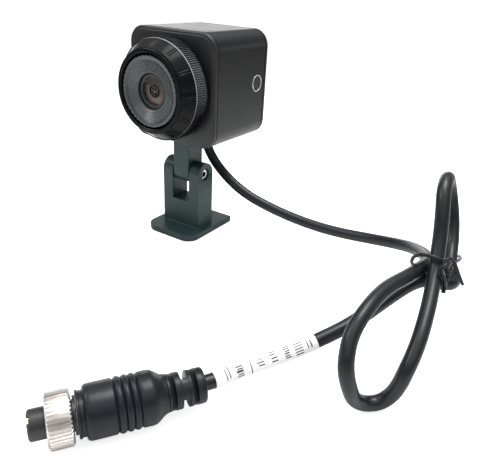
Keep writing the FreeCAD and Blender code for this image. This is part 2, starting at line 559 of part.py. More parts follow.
def make_lens_barrel():
    pts = [(BARREL_R, -11.2), (BARREL_R, -25.3), (DISH_R - 0.5, -25.3), (DISH_R - 0.5, -27.35), (14.95, -27.45)]
    # fine concentric ridges on the hollow dish
    n = 12
    r0, r1, y0, y1 = 14.7, 8.7, -27.3, -25.4
    for i in range(n):
        f = i / float(n)
        pts.append((r0 + (r1 - r0) * f, y0 + (y1 - y0) * f))
        f = (i + 0.75) / float(n)
        pts.append((r0 + (r1 - r0) * f, y0 + (y1 - y0) * f + 0.03))
    pts += [(8.6, -25.35), (8.35, -25.3), (7.62, -24.9), (7.62, -20.9), (6.4, -20.9), (6.4, -12.9), (7.4, -12.9), (7.4, -11.2)]
    s = revolve_y(pts, LENS_Z)
    rim = Part.Face(star(SCALLOPS, DISH_R, DISH_R - 0.32, 0.5, 0.3, V(0, -27.3, LENS_Z), V(1, 0, 0), V(0, 0, 1)))
    rim = rim.cut(Part.Face(Part.Wire([Part.Circle(V(0, -27.3, LENS_Z), V(0, 1, 0), DISH_R - 0.9).toShape()])))
    rim = rim.extrude(V(0, 1.6, 0))
    return one(s.fuse(rim).removeSplitter())


save(make_lens_barrel(), "lens_barrel")

save(one(revolve_y([(7.58, -21.0), (7.58, -24.8), (7.05, -24.9), (6.8, -24.1), (6.35, -24.0), (6.15, -23.1), (5.75, -23.0),
                    (5.7, -22.6), (6.15, -22.35), (6.15, -21.0)], LENS_Z)), "lens_retainer")


def lens_element(r, y_edge_front, sag_f, y_edge_back, sag_b):
    """Glass with spherical faces; positive front sag bulges to -Y, positive back sag to +Y."""
    def face(ye, sag, sign):
        R = (r * r + sag * sag) / (2 * abs(sag))
        ym = ye + sign * math.copysign(1, sag) * (math.sqrt(R * R - r * r * 0.25) - (R - abs(sag)))
        return V(r, ye, LENS_Z), V(r * 0.5, ym, LENS_Z), V(0, ye + sign * sag, LENS_Z)
    a0, a1, a2 = face(y_edge_front, sag_f, -1)
    b0, b1, b2 = face(y_edge_back, sag_b, 1)
    e = [Part.Arc(a2, a1, a0).toShape(), Part.LineSegment(a0, b0).toShape(), Part.Arc(b0, b1, b2).toShape(), Part.LineSegment(b2, a2).toShape()]
    f = Part.Face(Part.Wire(e))
    return one(f.revolve(V(0, 0, LENS_Z), V(0, 1, 0), 360))


save(lens_element(6.1, -22.1, 1.1, -20.95, -0.6), "front_glass")
save(one(revolve_y([(6.35, -20.7), (6.35, -19.2), (2.6, -19.2), (2.6, -19.5), (5.2, -20.0), (5.2, -20.7)], LENS_Z)), "aperture_stop")
save(one(revolve_y([(6.35, -19.15), (6.35, -18.0), (5.95, -18.0), (5.95, -18.5), (5.3, -18.5), (5.3, -19.15)], LENS_Z)), "lens_spacer")
save(lens_element(5.9, -18.0, 0.8, -17.0, 0.9), "middle_glass")
save(one(revolve_y([(6.35, -17.9), (6.35, -13.0), (5.95, -13.0), (5.95, -17.9)], LENS_Z)), "rear_spacer")
save(lens_element(5.9, -15.0, 0.7, -13.8, 0.6), "rear_glass")
save(one(revolve_y([(7.35, -12.8), (7.35, -11.3), (4.6, -11.3), (4.6, -12.2), (6.3, -12.8)], LENS_Z)), "rear_retainer")
save(box(-7.5, 7.5, Y_FRONT + PANEL_T + 2.22, Y_FRONT + PANEL_T + 2.72, LENS_Z - 7.5, LENS_Z + 7.5), "ir_filter")

# ================================================================ electronics
save(box(-4.6, 4.6, -3.6, -2.4, LENS_Z - 4.0, LENS_Z + 4.0), "image_sensor")
_b = rounded_block(37, 37, 2.0, -2.38, -0.78, LENS_Z)
_b2 = rounded_block(37, 37, 2.0, 9.02, 10.62, LENS_Z)
_pos = [(sx * BOARD_HOLE, sz * BOARD_HOLE) for sx in (-1, 1) for sz in (-1, 1)]
for _x, _z in _pos:
    _b = _b.cut(cyl(1.1, 10, V(_x, -5, LENS_Z + _z), V(0, 1, 0)))
    _b2 = _b2.cut(cyl(1.1, 10, V(_x, 5, LENS_Z + _z), V(0, 1, 0)))
    # corners relieved round the case's screw tunnels
    _tx, _tz = math.copysign(TUNNEL_X, _x), math.copysign(TUNNEL_Z, _z)
    _b = _b.cut(cyl(TUNNEL_R + 0.5, 10, V(_tx, -5, LENS_Z + _tz), V(0, 1, 0)))
    _b2 = _b2.cut(cyl(TUNNEL_R + 0.5, 10, V(_tx, 5, LENS_Z + _tz), V(0, 1, 0)))
save(one(_b), "sensor_board")
save(one(_b2), "main_board")
_s, _t = [], []
for _x, _z in _pos:
    _c = cyl(2.2, 9.76, V(_x, -0.77, LENS_Z + _z), V(0, 1, 0))
    _c = _c.cut(cyl(0.95, 4.2, V(_x, 9.02 - 4.1, LENS_Z + _z), V(0, 1, 0)))
    _c = _c.fuse(cyl(0.9, 5.2, V(_x, -5.8, LENS_Z + _z), V(0, 1, 0)))
    _s.append(one(_c.removeSplitter()))
    _c = cyl(0.9, 5.4, V(_x, 5.3, LENS_Z + _z), V(0, 1, 0)).fuse(cyl(1.9, 1.2, V(_x, 10.64, LENS_Z + _z), V(0, 1, 0)))
    _c = _c.cut(box(_x - 0.2, _x + 0.2, 11.4, 13, LENS_Z + _z - 1.3, LENS_Z + _z + 1.3))
    _t.append(one(_c.removeSplitter()))
save(group(_s), "board_spacers")
save(group(_t), "board_screws")
save(box(-9, 9, -0.76, 9.0, LENS_Z + 11.0, LENS_Z + 14.5), "board_link")
_s = [box(-5, 5, 7.8, 9.0, LENS_Z - 6, LENS_Z + 4), cyl(2.0, 4.0, V(10.5, 4.98, LENS_Z - 6.0), V(0, 1, 0)),
      cyl(2.0, 4.0, V(10.5, 4.98, LENS_Z + 1.0), V(0, 1, 0)), box(-12.5, -8.5, 6.6, 9.0, LENS_Z - 4, LENS_Z + 2),
      box(-2.5, 2.5, -0.76, 0.6, LENS_Z - 2.5, LENS_Z + 2.5)]
save(group(_s), "board_parts")
# cable header on the main board and the plug on the cable's end
_h = box(-6.2, 6.2, 10.66, 17.0, 60.0, 68.0).cut(box(-5.2, 5.2, 11.4, 16.2, 59, 66.5))
save(one(_h), "cable_header")
_pl = box(-5.0, 5.0, 11.6, 16.0, 57.2, 66.3).fuse(box(-5.0, 5.0, 11.0, 16.4, 57.2, 59.6)).cut(cyl(CORD_D / 2 + 0.05, 3.0, V(0, 13.4, 56.0), V(0, 0, 1)))
save(one(_pl.removeSplitter()), "cable_plug")

# ================================================================ cord
cord_wire = rounded_route(ROUTE, report="cord")
cord = tube(cord_wire, CORD_D / 2)
print("cord volume %.1f, section x length %.1f" % (cord.Volume, math.pi * (CORD_D / 2) ** 2 * cord_wire.Length))
save(cord, "cable")
save(cyl(CORD_D / 2, 4.9, V(0, 13.4, 54.02), V(0, 0, 1)), "cable_tail")


def rounded_sub(i0, f0, i1, f1):
    """Part of the rounded route, from a point on run i0 to a point on run i1."""
    P = [V(*p) for p in ROUTE]
    a = P[i0] + (P[i0 + 1] - P[i0]) * f0
    b = P[i1] + (P[i1 + 1] - P[i1]) * f1
    edges, cur = [], a
    for i in range(i0 + 1, i1 + 1):
        u = P[i] - P[i - 1]
        w = P[i + 1] - P[i]
        t = 0.45 * min(u.Length, w.Length)
        ua, ub = u * (1 / u.Length), w * (1 / w.Length)
        turn = math.acos(max(-1, min(1, ua.dot(ub))))
        radius = t / math.tan(turn / 2)
        s, e = P[i] - ua * t, P[i] + ub * t
        bis = ub - ua
        bis.normalize()
        m = P[i] + bis * (radius / math.cos(turn / 2)) - bis * radius
        edges.append(Part.LineSegment(cur, s).toShape())
        edges.append(Part.Arc(s, m, e).toShape())
        cur = e
    edges.append(Part.LineSegment(cur, b).toShape())
    return Part.Wire(edges)


label_wire = rounded_sub(50, 0.47, 52, 0.53)
save(tube(label_wire, CORD_D / 2 + 0.2, CORD_D / 2 + 0.02), "cable_label")

# ================================================================ twist tie
TIE_R = 0.65
# The long wire: its doubled end, the turn round the bundle and the free tail.
TIE_LONG = [
    (140.1, -34.1, 29.5), (140.0, -33.4, 31.6), (139.9, -32.7, 33.9), (139.8, -31.4, 35.8),
    (139.8, -29.0, 37.2), (139.9, -24.0, 36.8), (140.4, -17.6, 35.0), (140.2, -11.7, 33.1),
    (138.9, -5.2, 30.9), (136.1, -1.7, 28.7), (133.5, -4.1, 27.2), (131.2, -7.9, 25.8),
    (129.4, -13.0, 25.3), (127.9, -19.6, 26.8), (126.7, -25.3, 30.3), (126.4, -29.0, 34.2),
    (127.1, -31.4, 37.8), (128.9, -32.6, 40.1), (131.1, -33.5, 41.1), (133.4, -33.9, 41.5),
    (135.5, -33.6, 41.3), (137.3, -33.1, 40.8), (138.2, -32.5, 41.1), (139.0, -31.3, 41.4),
    (140.0, -30.1, 40.5), (141.4, -29.3, 38.1), (143.0, -28.5, 34.6), (144.8, -27.3, 31.2),
]
# The short wire that hangs in front of the knot.
TIE_SHORT = [
    (139.0, -34.9, 40.6), (138.3, -35.9, 40.3), (138.0, -36.5, 39.2), (138.5, -36.4, 37.5),
    (139.6, -35.7, 35.7), (140.1, -35.4, 34.2), (140.1, -35.5, 32.9),
]
save(group([tube(rounded_route(TIE_LONG, report="tie, long wire"), TIE_R),
            tube(rounded_route(TIE_SHORT, report="tie, short wire"), TIE_R)]), "twist_tie")

# ================================================================ connector
# Built along +X from the tip, then turned into place.
def place(s):
    s = s.copy()
    s.rotate(V(0, 0, 0), V(0, 0, 1), PLUG_ANGLE)
    s.translate(PLUG_TIP)
    return s


def rev_x(points):
    pts = [V(s, r, 0) for s, r in points]
    pts.append(pts[0])
    return Part.Face(Part.makePolygon(pts)).revolve(V(0, 0, 0), V(1, 0, 0), 360)


b = rev_x([(0, 3.6), (0, BARREL_PLUG_R - 0.5), (0.5, BARREL_PLUG_R), (12.2, BARREL_PLUG_R), (12.2, 5.6), (13.0, 5.6),
           (13.0, 0.0), (4.6, 0.0), (4.6, 3.6)])
key = box(-1, 0.95, -0.9, 0.9, 2.5, 7)
key.rotate(V(0, 0, 0), V(1, 0, 0), 25.4)
b = b.cut(key)
save(place(one(b)), "plug_insert")
_s = []
for _i in range(4):
    _a = math.radians(45 + 90 * _i)
    _c = cyl(0.5, 4.2, V(0.8, 2.0 * math.cos(_a), 2.0 * math.sin(_a)), V(1, 0, 0))
    _s.append(_c.fuse(Part.makeSphere(0.5, V(0.8, 2.0 * math.cos(_a), 2.0 * math.sin(_a)))).removeSplitter())
_pins = group([one(x.common(box(0, 4.59, -5, 5, -5, 5))) for x in _s])
save(place(_pins), "plug_pins")

n0 = Part.Face(star(NUT_FLUTES, NUT_R, NUT_R - 0.42, 0.56, 0.2, V(NUT_S0 + 0.5, 0, 0), V(0, 1, 0), V(0, 0, 1))).extrude(V(NUT_S1 - NUT_S0 - 1.0, 0, 0))
n1 = rev_x([(NUT_S0, 5.9), (NUT_S0, NUT_R - 0.75), (NUT_S0 + 0.45, NUT_R - 0.35), (NUT_S1 - 0.45, NUT_R - 0.35), (NUT_S1, NUT_R - 0.75),
            (NUT_S1, BARREL_PLUG_R + 0.07), (NUT_S1 - 1.2, BARREL_PLUG_R + 0.07), (NUT_S1 - 1.2, 5.9)])
n = n0.cut(cyl(6.6, 20, V(0, 0, 0), V(1, 0, 0))).fuse(n1).removeSplitter()
save(place(one(n)), "coupling_nut")
save(place(one(rev_x([(9.9, BARREL_PLUG_R + 0.02), (9.9, 5.5), (10.4, 5.5), (10.4, BARREL_PLUG_R + 0.02)]).cut(box(9, 11, -0.6, 0.6, 0, 7)))), "nut_clip")
save(place(one(rev_x([(13.02, 4.0), (13.02, 6.9), (13.5, 7.0), (13.9, 6.9), (13.9, 4.0)]))), "nut_collar")


SLOT_TURN = 50.0
SLOT_FLOOR = 2.97
RELIEF_SLOTS = [(39.8, 41.15, 90), (43.25, 45.4, 0), (46.5, 47.9, 90)]


def cut_slots(s):
    for s0, s1, turn in RELIEF_SLOTS:
        for side in (0, 180):
            c = box(s0, s1, SLOT_FLOOR, 9, -9, 9)
            c.rotate(V(0, 0, 0), V(1, 0, 0), SLOT_TURN + turn + side)
            s = s.cut(c)
    return s


def make_plug_body():
    pts = [(13.92, 0), (13.92, 5.7), (15.1, 5.7), (15.1, 7.4), (15.5, 7.95), (16.2, 8.1)]
    R = 8.1
    pts.append((23.7, R))
    grooves = [24.3, 26.6, 28.9, 31.0]
    for i, g in enumerate(grooves):
        pts += [(g - 0.55, R - 0.06), (g - 0.2, R - 0.55), (g + 0.2, R - 0.55), (g + 0.55, R - 0.06)]
        if i < 3:
            m = (grooves[i] + grooves[i + 1]) / 2.0
            pts.append((m, R + 0.1))
    pts += [(32.4, 8.2), (33.6, 8.27), (35.0, 8.27), (35.7, 8.1), (37.4, 7.0), (38.3, 6.2), (38.9, 5.85), (41.0, 5.75),
            (41.0, CORD_D / 2 + 0.01), (40.5, CORD_D / 2 + 0.01), (40.5, 0)]
    s = rev_x(pts)
    return one(cut_slots(s))


save(place(make_plug_body()), "plug_body")




def make_relief():
    pts = [(41.02, CORD_D / 2 + 0.01), (41.02, 5.65), (41.3, 5.7), (43.1, 5.65), (50.4, 5.55), (50.7, 5.3), (50.7, CORD_D / 2 + 0.22),
           (48.0, CORD_D / 2 + 0.01)]
    return one(cut_slots(rev_x(pts)))


save(place(make_relief()), "strain_relief")
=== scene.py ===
import math
import bpy
import bmesh
from mathutils import Matrix, Vector


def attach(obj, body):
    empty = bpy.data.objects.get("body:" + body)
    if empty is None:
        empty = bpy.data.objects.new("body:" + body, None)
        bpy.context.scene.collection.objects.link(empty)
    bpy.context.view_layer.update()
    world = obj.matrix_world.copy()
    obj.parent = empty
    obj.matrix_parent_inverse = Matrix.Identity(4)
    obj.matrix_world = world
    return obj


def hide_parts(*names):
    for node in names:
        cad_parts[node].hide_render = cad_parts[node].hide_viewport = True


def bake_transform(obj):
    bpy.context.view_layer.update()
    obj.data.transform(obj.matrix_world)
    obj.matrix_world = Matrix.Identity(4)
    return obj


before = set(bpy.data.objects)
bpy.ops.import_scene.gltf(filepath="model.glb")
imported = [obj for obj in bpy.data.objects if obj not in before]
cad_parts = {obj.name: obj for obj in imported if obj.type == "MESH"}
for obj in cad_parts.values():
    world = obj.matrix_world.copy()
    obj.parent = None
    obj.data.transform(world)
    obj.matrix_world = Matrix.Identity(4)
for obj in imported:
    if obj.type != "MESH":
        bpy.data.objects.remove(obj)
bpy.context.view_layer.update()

MM = 0.001


# ------------------------------------------------------------------ camera
AZ, PITCH, ROLL = math.radians(31.415), math.radians(26.547), math.radians(3.466)
cam_at = Vector((160.38, -196.77, 122.0)) * MM
_d = Vector((-math.sin(AZ), math.cos(AZ), 0.0))
_fwd = Vector((_d.x * math.cos(PITCH), _d.y * math.cos(PITCH), -math.sin(PITCH)))
_right = _fwd.cross(Vector((0, 0, 1))).normalized()
_up = _right.cross(_fwd)
_r = _right * math.cos(ROLL) + _up * math.sin(ROLL)
_u = -_right * math.sin(ROLL) + _up * math.cos(ROLL)
cam_data = bpy.data.cameras.new("camera_view")
cam_data.lens = 36.64
cam_data.sensor_width = 36.0
cam_data.sensor_fit = "HORIZONTAL"
cam_data.clip_start = 0.01
cam_data.clip_end = 60.0
cam = bpy.data.objects.new("camera_view", cam_data)
bpy.context.scene.collection.objects.link(cam)
_m = Matrix((_r, _u, -_fwd)).transposed().to_4x4()
_m.translation = cam_at
cam.matrix_world = _m
bpy.context.scene.camera = cam
bpy.context.scene.view_settings.view_transform = "Standard"


# ------------------------------------------------------------------ materials
def new_mat(name):
    m = bpy.data.materials.new(name)
    m.use_nodes = True
    nt = m.node_tree
    for n in list(nt.nodes):
        nt.nodes.remove(n)
    out = nt.nodes.new("ShaderNodeOutputMaterial")
    b = nt.nodes.new("ShaderNodeBsdfPrincipled")
    nt.links.new(b.outputs["BSDF"], out.inputs["Surface"])
    return m, nt, b


def coords(nt, scale=(1, 1, 1), kind="Object"):
    tc = nt.nodes.new("ShaderNodeTexCoord")
    mp = nt.nodes.new("ShaderNodeMapping")
    mp.inputs["Scale"].default_value = scale
    nt.links.new(tc.outputs[kind], mp.inputs["Vector"])
    return mp.outputs["Vector"]


def noise(nt, vec, scale, detail=4.0, rough=0.55):
    n = nt.nodes.new("ShaderNodeTexNoise")
    n.inputs["Scale"].default_value = scale
    n.inputs["Detail"].default_value = detail
    n.inputs["Roughness"].default_value = rough
    nt.links.new(vec, n.inputs["Vector"])
    return n.outputs["Fac"]


def ramp(nt, fac, stops):
    r = nt.nodes.new("ShaderNodeValToRGB")
    e = r.color_ramp.elements
    e[0].position, e[0].color = stops[0][0], (*stops[0][1], 1)
    e[1].position, e[1].color = stops[-1][0], (*stops[-1][1], 1)
    for p, c in stops[1:-1]:
        k = e.new(p)
        k.color = (*c, 1)
    nt.links.new(fac, r.inputs["Fac"])
    return r.outputs["Color"]


def span(nt, fac, lo, hi, a=0.3, b=0.7):
    m = nt.nodes.new("ShaderNodeMapRange")
    m.inputs["From Min"].default_value = a
    m.inputs["From Max"].default_value = b
    m.inputs["To Min"].default_value = lo
    m.inputs["To Max"].default_value = hi
    nt.links.new(fac, m.inputs["Value"])
    return m.outputs["Result"]


def bump(nt, b, height, strength, dist):
    n = nt.nodes.new("ShaderNodeBump")
    n.inputs["Strength"].default_value = strength
    n.inputs["Distance"].default_value = dist
    nt.links.new(height, n.inputs["Height"])
    nt.links.new(n.outputs["Normal"], b.inputs["Normal"])
    return n


def surface(name, dark, light, r_lo, r_hi, grain=2500.0, grain_h=0.00002, strength=0.25, metallic=0.0,
            cloud=60.0, stretch=(1, 1, 1), coat=0.0, coat_r=0.1, spec=0.5, ior=1.5):
    """A moulded, painted or metal surface: cloudy colour, uneven gloss, fine grain."""
    m, nt, b = new_mat(name)
    v = coords(nt, stretch)
    c = noise(nt, v, cloud, 5.0, 0.6)
    g = noise(nt, v, grain, 3.0, 0.5)
    nt.links.new(ramp(nt, c, [(0.35, dark), (0.65, light)]), b.inputs["Base Color"])
    c2 = noise(nt, v, cloud * 3.1, 6.0, 0.65)
    nt.links.new(span(nt, c2, r_lo, r_hi), b.inputs["Roughness"])
    b.inputs["Metallic"].default_value = metallic
    b.inputs["Specular IOR Level"].default_value = spec
    b.inputs["IOR"].default_value = ior
    if coat > 0:
        b.inputs["Coat Weight"].default_value = coat
        b.inputs["Coat Roughness"].default_value = coat_r
    bump(nt, b, g, strength, grain_h)
    return m


def lens_radius(nt):
    """Distance from the lens axis, in metres."""
    tc = nt.nodes.new("ShaderNodeTexCoord")
    sp = nt.nodes.new("ShaderNodeSeparateXYZ")
    nt.links.new(tc.outputs["Object"], sp.inputs["Vector"])
    z0 = nt.nodes.new("ShaderNodeMath")
    z0.operation = "SUBTRACT"
    nt.links.new(sp.outputs["Z"], z0.inputs[0])
    z0.inputs[1].default_value = 0.0752
    cx = nt.nodes.new("ShaderNodeCombineXYZ")
    nt.links.new(sp.outputs["X"], cx.inputs["X"])
    nt.links.new(z0.outputs[0], cx.inputs["Z"])
    ln = nt.nodes.new("ShaderNodeVectorMath")
    ln.operation = "LENGTH"
    nt.links.new(cx.outputs["Vector"], ln.inputs[0])
    return ln.outputs["Value"], sp


def dish_painted_shade_and_glints(m):
    """Painted shade and light on the dish: dark and light lines along its ribs, strongest on the left side; painted
    shade at the inner edge, in a line at the ribs' outer edge and on the outer bevel; a painted bright line near the
    rim.
    """
    nt = m.node_tree
    b = nt.nodes["Principled BSDF"]
    radius, sp = lens_radius(nt)
    old = b.inputs["Base Color"].links[0].from_socket
    # painted shade by radius: inner edge, a shadow line at the ribs' outer edge, the darker outer bevel, then a
    # painted bright line
    bevel_painted_shade = ramp(nt, span(nt, radius, 0.0, 1.0, 0.0080, 0.0160), [
        (0.0, (0.55, 0.55, 0.55)), (0.06, (1.0, 1.0, 1.0)), (0.645, (1.0, 1.0, 1.0)), (0.66, (0.42, 0.42, 0.42)),
        (0.70, (0.60, 0.60, 0.60)), (0.82, (0.66, 0.66, 0.66)), (0.84, (1.10, 1.10, 1.10)), (1.0, (0.9, 0.9, 0.9))])
    turn = nt.nodes.new("ShaderNodeMath")
    turn.operation = "MULTIPLY"
    nt.links.new(span(nt, radius, 0.0, 6.0, 0.01325, 0.00845), turn.inputs[0])
    turn.inputs[1].default_value = 1.0
    frac = nt.nodes.new("ShaderNodeMath")
    frac.operation = "FRACT"
    nt.links.new(turn.outputs[0], frac.inputs[0])
    # painted shade and glints: a dark and a light line along each rib
    line = ramp(nt, frac.outputs[0], [(0.0, (0.80, 0.80, 0.80)), (0.08, (1.25, 1.25, 1.25)), (0.30, (1.15, 1.15, 1.15)), (0.55, (0.92, 0.92, 0.92)), (0.88, (0.58, 0.58, 0.58)), (1.0, (0.58, 0.58, 0.58))])
    # the rib lines are full on the left side and fade to the right, as painted shade and glints
    where = nt.nodes.new("ShaderNodeMix")
    where.data_type = "RGBA"
    nt.links.new(span(nt, sp.outputs["X"], 1.0, 0.15, -0.005, 0.008), where.inputs[0])
    where.inputs[6].default_value = (1, 1, 1, 1)
    nt.links.new(line, where.inputs[7])
    for other in (bevel_painted_shade, where.outputs[2]):
        mx = nt.nodes.new("ShaderNodeMix")
        mx.data_type = "RGBA"
        mx.blend_type = "MULTIPLY"
        mx.inputs[0].default_value = 1.0
        nt.links.new(old, mx.inputs[6])
        nt.links.new(other, mx.inputs[7])
        old = mx.outputs[2]
    nt.links.new(old, b.inputs["Base Color"])
    return m


def ring_painted_highlights(m):
    """Painted highlights: a bright line along the edge of the cone and lighter crests on the knurl, shown towards the
    top and right side.
    """
    nt = m.node_tree
    b = nt.nodes["Principled BSDF"]
    radius, sp = lens_radius(nt)
    old = b.inputs["Base Color"].links[0].from_socket
    # painted highlight by radius: the cone's edge line and the knurl crests
    crest_painted_highlight = ramp(nt, span(nt, radius, 0.0, 1.0, 0.0220, 0.0232), [
        (0.0, (0.0, 0.0, 0.0)), (0.18, (0.0, 0.0, 0.0)), (0.23, (0.55, 0.55, 0.55)), (0.37, (0.55, 0.55, 0.55)),
        (0.42, (0.0, 0.0, 0.0)), (0.73, (0.0, 0.0, 0.0)), (0.81, (0.050, 0.051, 0.054)), (1.0, (0.050, 0.051, 0.054))])
    # the painted highlight shows towards the top and the right, where the light falls, and fades elsewhere
    up = nt.nodes.new("ShaderNodeMix")
    up.data_type = "RGBA"
    side = nt.nodes.new("ShaderNodeMath")
    side.operation = "MULTIPLY"
    nt.links.new(span(nt, sp.outputs["Z"], 0.15, 1.0, 0.062, 0.086), side.inputs[0])
    nt.links.new(span(nt, sp.outputs["X"], 0.10, 1.0, -0.012, 0.006), side.inputs[1])
    nt.links.new(side.outputs[0], up.inputs[0])
    up.inputs[6].default_value = (0, 0, 0, 1)
    nt.links.new(crest_painted_highlight, up.inputs[7])
    crest_painted_highlight = up.outputs[2]
    mx = nt.nodes.new("ShaderNodeMix")
    mx.data_type = "RGBA"
    mx.blend_type = "ADD"
    mx.inputs[0].default_value = 1.0
    nt.links.new(old, mx.inputs[6])
    nt.links.new(crest_painted_highlight, mx.inputs[7])
    nt.links.new(mx.outputs[2], b.inputs["Base Color"])
    return m


M = {}
M["bracket_metal"] = surface("m_bracket", (0.0125, 0.035, 0.035), (0.019, 0.045, 0.045), 0.34, 0.46, grain=3200, spec=0.46)
M["case"] = surface("m_case", (0.0070, 0.0075, 0.0088), (0.0095, 0.0100, 0.0114), 0.30, 0.38, grain=4200, grain_h=0.000012, spec=0.42)
M["panel"] = surface("m_panel", (0.0115, 0.0120, 0.0135), (0.0150, 0.0155, 0.0170), 0.32, 0.42, grain=4200, grain_h=0.000012, spec=0.5)
M["cover"] = surface("m_cover", (0.0100, 0.0105, 0.0120), (0.0135, 0.0140, 0.0155), 0.32, 0.42, grain=4200, grain_h=0.000012, spec=0.5)
M["ring"] = surface("m_ring", (0.0032, 0.0035, 0.0042), (0.0052, 0.0056, 0.0065), 0.16, 0.24, grain=3800, grain_h=0.00001, spec=0.14)
M["dish"] = surface("m_dish", (0.092, 0.098, 0.104), (0.110, 0.116, 0.123), 0.24, 0.32, grain=4000, grain_h=0.00001, spec=0.6)
# painted highlights on the focus ring's cone edge and knurl crests
M["ring"] = ring_painted_highlights(M["ring"])
# painted shade and glints on the dish's ribs and bevel
M["dish"] = dish_painted_shade_and_glints(M["dish"])
M["lens_black"] = surface("m_lens_black", (0.0020, 0.0020, 0.0024), (0.0035, 0.0035, 0.0040), 0.30, 0.45, grain=4000, grain_h=0.00001, spec=0.15)
M["rubber"] = surface("m_rubber", (0.010, 0.010, 0.010), (0.018, 0.018, 0.018), 0.6, 0.8, grain=2600, grain_h=0.00003, strength=0.4)
M["foam"] = surface("m_foam", (0.020, 0.020, 0.021), (0.034, 0.034, 0.035), 0.8, 0.95, grain=3500, grain_h=0.00008, strength=0.7)
M["steel"] = surface("m_steel", (0.40, 0.40, 0.41), (0.55, 0.55, 0.56), 0.22, 0.36, grain=3000, metallic=1.0)
M["black_screw"] = surface("m_black_screw", (0.03, 0.03, 0.033), (0.05, 0.05, 0.055), 0.28, 0.4, grain=3000, metallic=0.6)
M["nylon"] = surface("m_nylon", (0.02, 0.02, 0.02), (0.035, 0.035, 0.035), 0.45, 0.6)
M["board"] = surface("m_board", (0.010, 0.075, 0.028), (0.016, 0.11, 0.045), 0.25, 0.4, grain=1500, cloud=220)
M["component"] = surface("m_component", (0.02, 0.02, 0.021), (0.04, 0.04, 0.042), 0.4, 0.55)
M["brass"] = surface("m_brass", (0.60, 0.44, 0.18), (0.75, 0.58, 0.28), 0.2, 0.35, metallic=1.0)
M["header"] = surface("m_header", (0.72, 0.70, 0.64), (0.82, 0.80, 0.74), 0.35, 0.5)
M["cord"] = surface("m_cord", (0.0070, 0.0080, 0.0110), (0.0110, 0.0122, 0.0160), 0.27, 0.35, grain=2600, grain_h=0.000015, strength=0.3, cloud=90, spec=0.40)
M["tie"] = surface("m_tie", (0.006, 0.006, 0.008), (0.010, 0.010, 0.012), 0.22, 0.32, grain=3000, spec=0.35)
M["overmould"] = surface("m_overmould", (0.0080, 0.0090, 0.0130), (0.0130, 0.0145, 0.0190), 0.26, 0.36, grain=2400, grain_h=0.00002, strength=0.3, cloud=110, spec=0.30)
M["insert"] = surface("m_insert", (0.018, 0.018, 0.019), (0.03, 0.03, 0.032), 0.30, 0.42)
M["bright_edge"] = surface("m_bright_edge", (0.62, 0.62, 0.63), (0.78, 0.78, 0.79), 0.25, 0.38, grain=3000, metallic=0.6)
M["screw_bright"] = surface("m_screw_bright", (0.80, 0.80, 0.81), (0.92, 0.92, 0.93), 0.14, 0.24, grain=3000, metallic=1.0)
M["retainer"] = surface("m_retainer", (0.030, 0.032, 0.036), (0.042, 0.044, 0.049), 0.30, 0.42, grain=4000, grain_h=0.00001)
M["pupil"] = surface("m_pupil", (0.060, 0.036, 0.036), (0.080, 0.050, 0.048), 0.30, 0.40, grain=3000, grain_h=0.000005, spec=0.15)
M["inner_glass"] = surface("m_inner_glass", (0.003, 0.003, 0.0035), (0.006, 0.005, 0.006), 0.06, 0.10, grain=3000, grain_h=0.000002, coat=1.0, coat_r=0.03)
M["nickel"] = surface("m_nickel", (0.66, 0.62, 0.59), (0.78, 0.745, 0.715), 0.24, 0.36, grain=2600, grain_h=0.00001, metallic=1.0, cloud=150)
M["gold"] = surface("m_gold", (0.75, 0.55, 0.22), (0.85, 0.66, 0.32), 0.15, 0.28, metallic=1.0)


def glass(name, tint, rough=0.02):
    m, nt, b = new_mat(name)
    v = coords(nt)
    g = noise(nt, v, 900.0, 2.0, 0.5)
    nt.links.new(ramp(nt, g, [(0.4, tint), (0.6, tuple(min(1, c * 1.04) for c in tint))]), b.inputs["Base Color"])
    nt.links.new(span(nt, g, rough, rough * 1.5), b.inputs["Roughness"])
    b.inputs["Transmission Weight"].default_value = 1.0
    b.inputs["IOR"].default_value = 1.06
    return m


M["glass"] = glass("m_glass", (0.93, 0.93, 0.90))
M["filter"] = glass("m_filter", (0.55, 0.80, 0.85))
M["sensor"] = surface("m_sensor", (0.02, 0.02, 0.035), (0.03, 0.03, 0.06), 0.08, 0.15)


def coating_painted_reflection_mat():
    """Lens coating with a painted reflection: darker olive towards the top, lighter reddish brown towards the bottom.
    """
    m, nt, b = new_mat("m_coating")
    tc = nt.nodes.new("ShaderNodeTexCoord")
    sp = nt.nodes.new("ShaderNodeSeparateXYZ")
    nt.links.new(tc.outputs["Object"], sp.inputs["Vector"])
    # painted reflection: colour and brightness change with height on the lens
    z = span(nt, sp.outputs["Z"], 0.0, 1.0, 0.0690, 0.0815)
    nt.links.new(ramp(nt, z, [(0.0, (0.190, 0.135, 0.128)), (0.40, (0.135, 0.100, 0.092)), (0.62, (0.110, 0.104, 0.068)), (1.0, (0.080, 0.083, 0.052))]),
                 b.inputs["Base Color"])
    v = coords(nt)
    nt.links.new(span(nt, noise(nt, v, 500.0), 0.18, 0.28), b.inputs["Roughness"])
    return m


M["coating"] = coating_painted_reflection_mat()


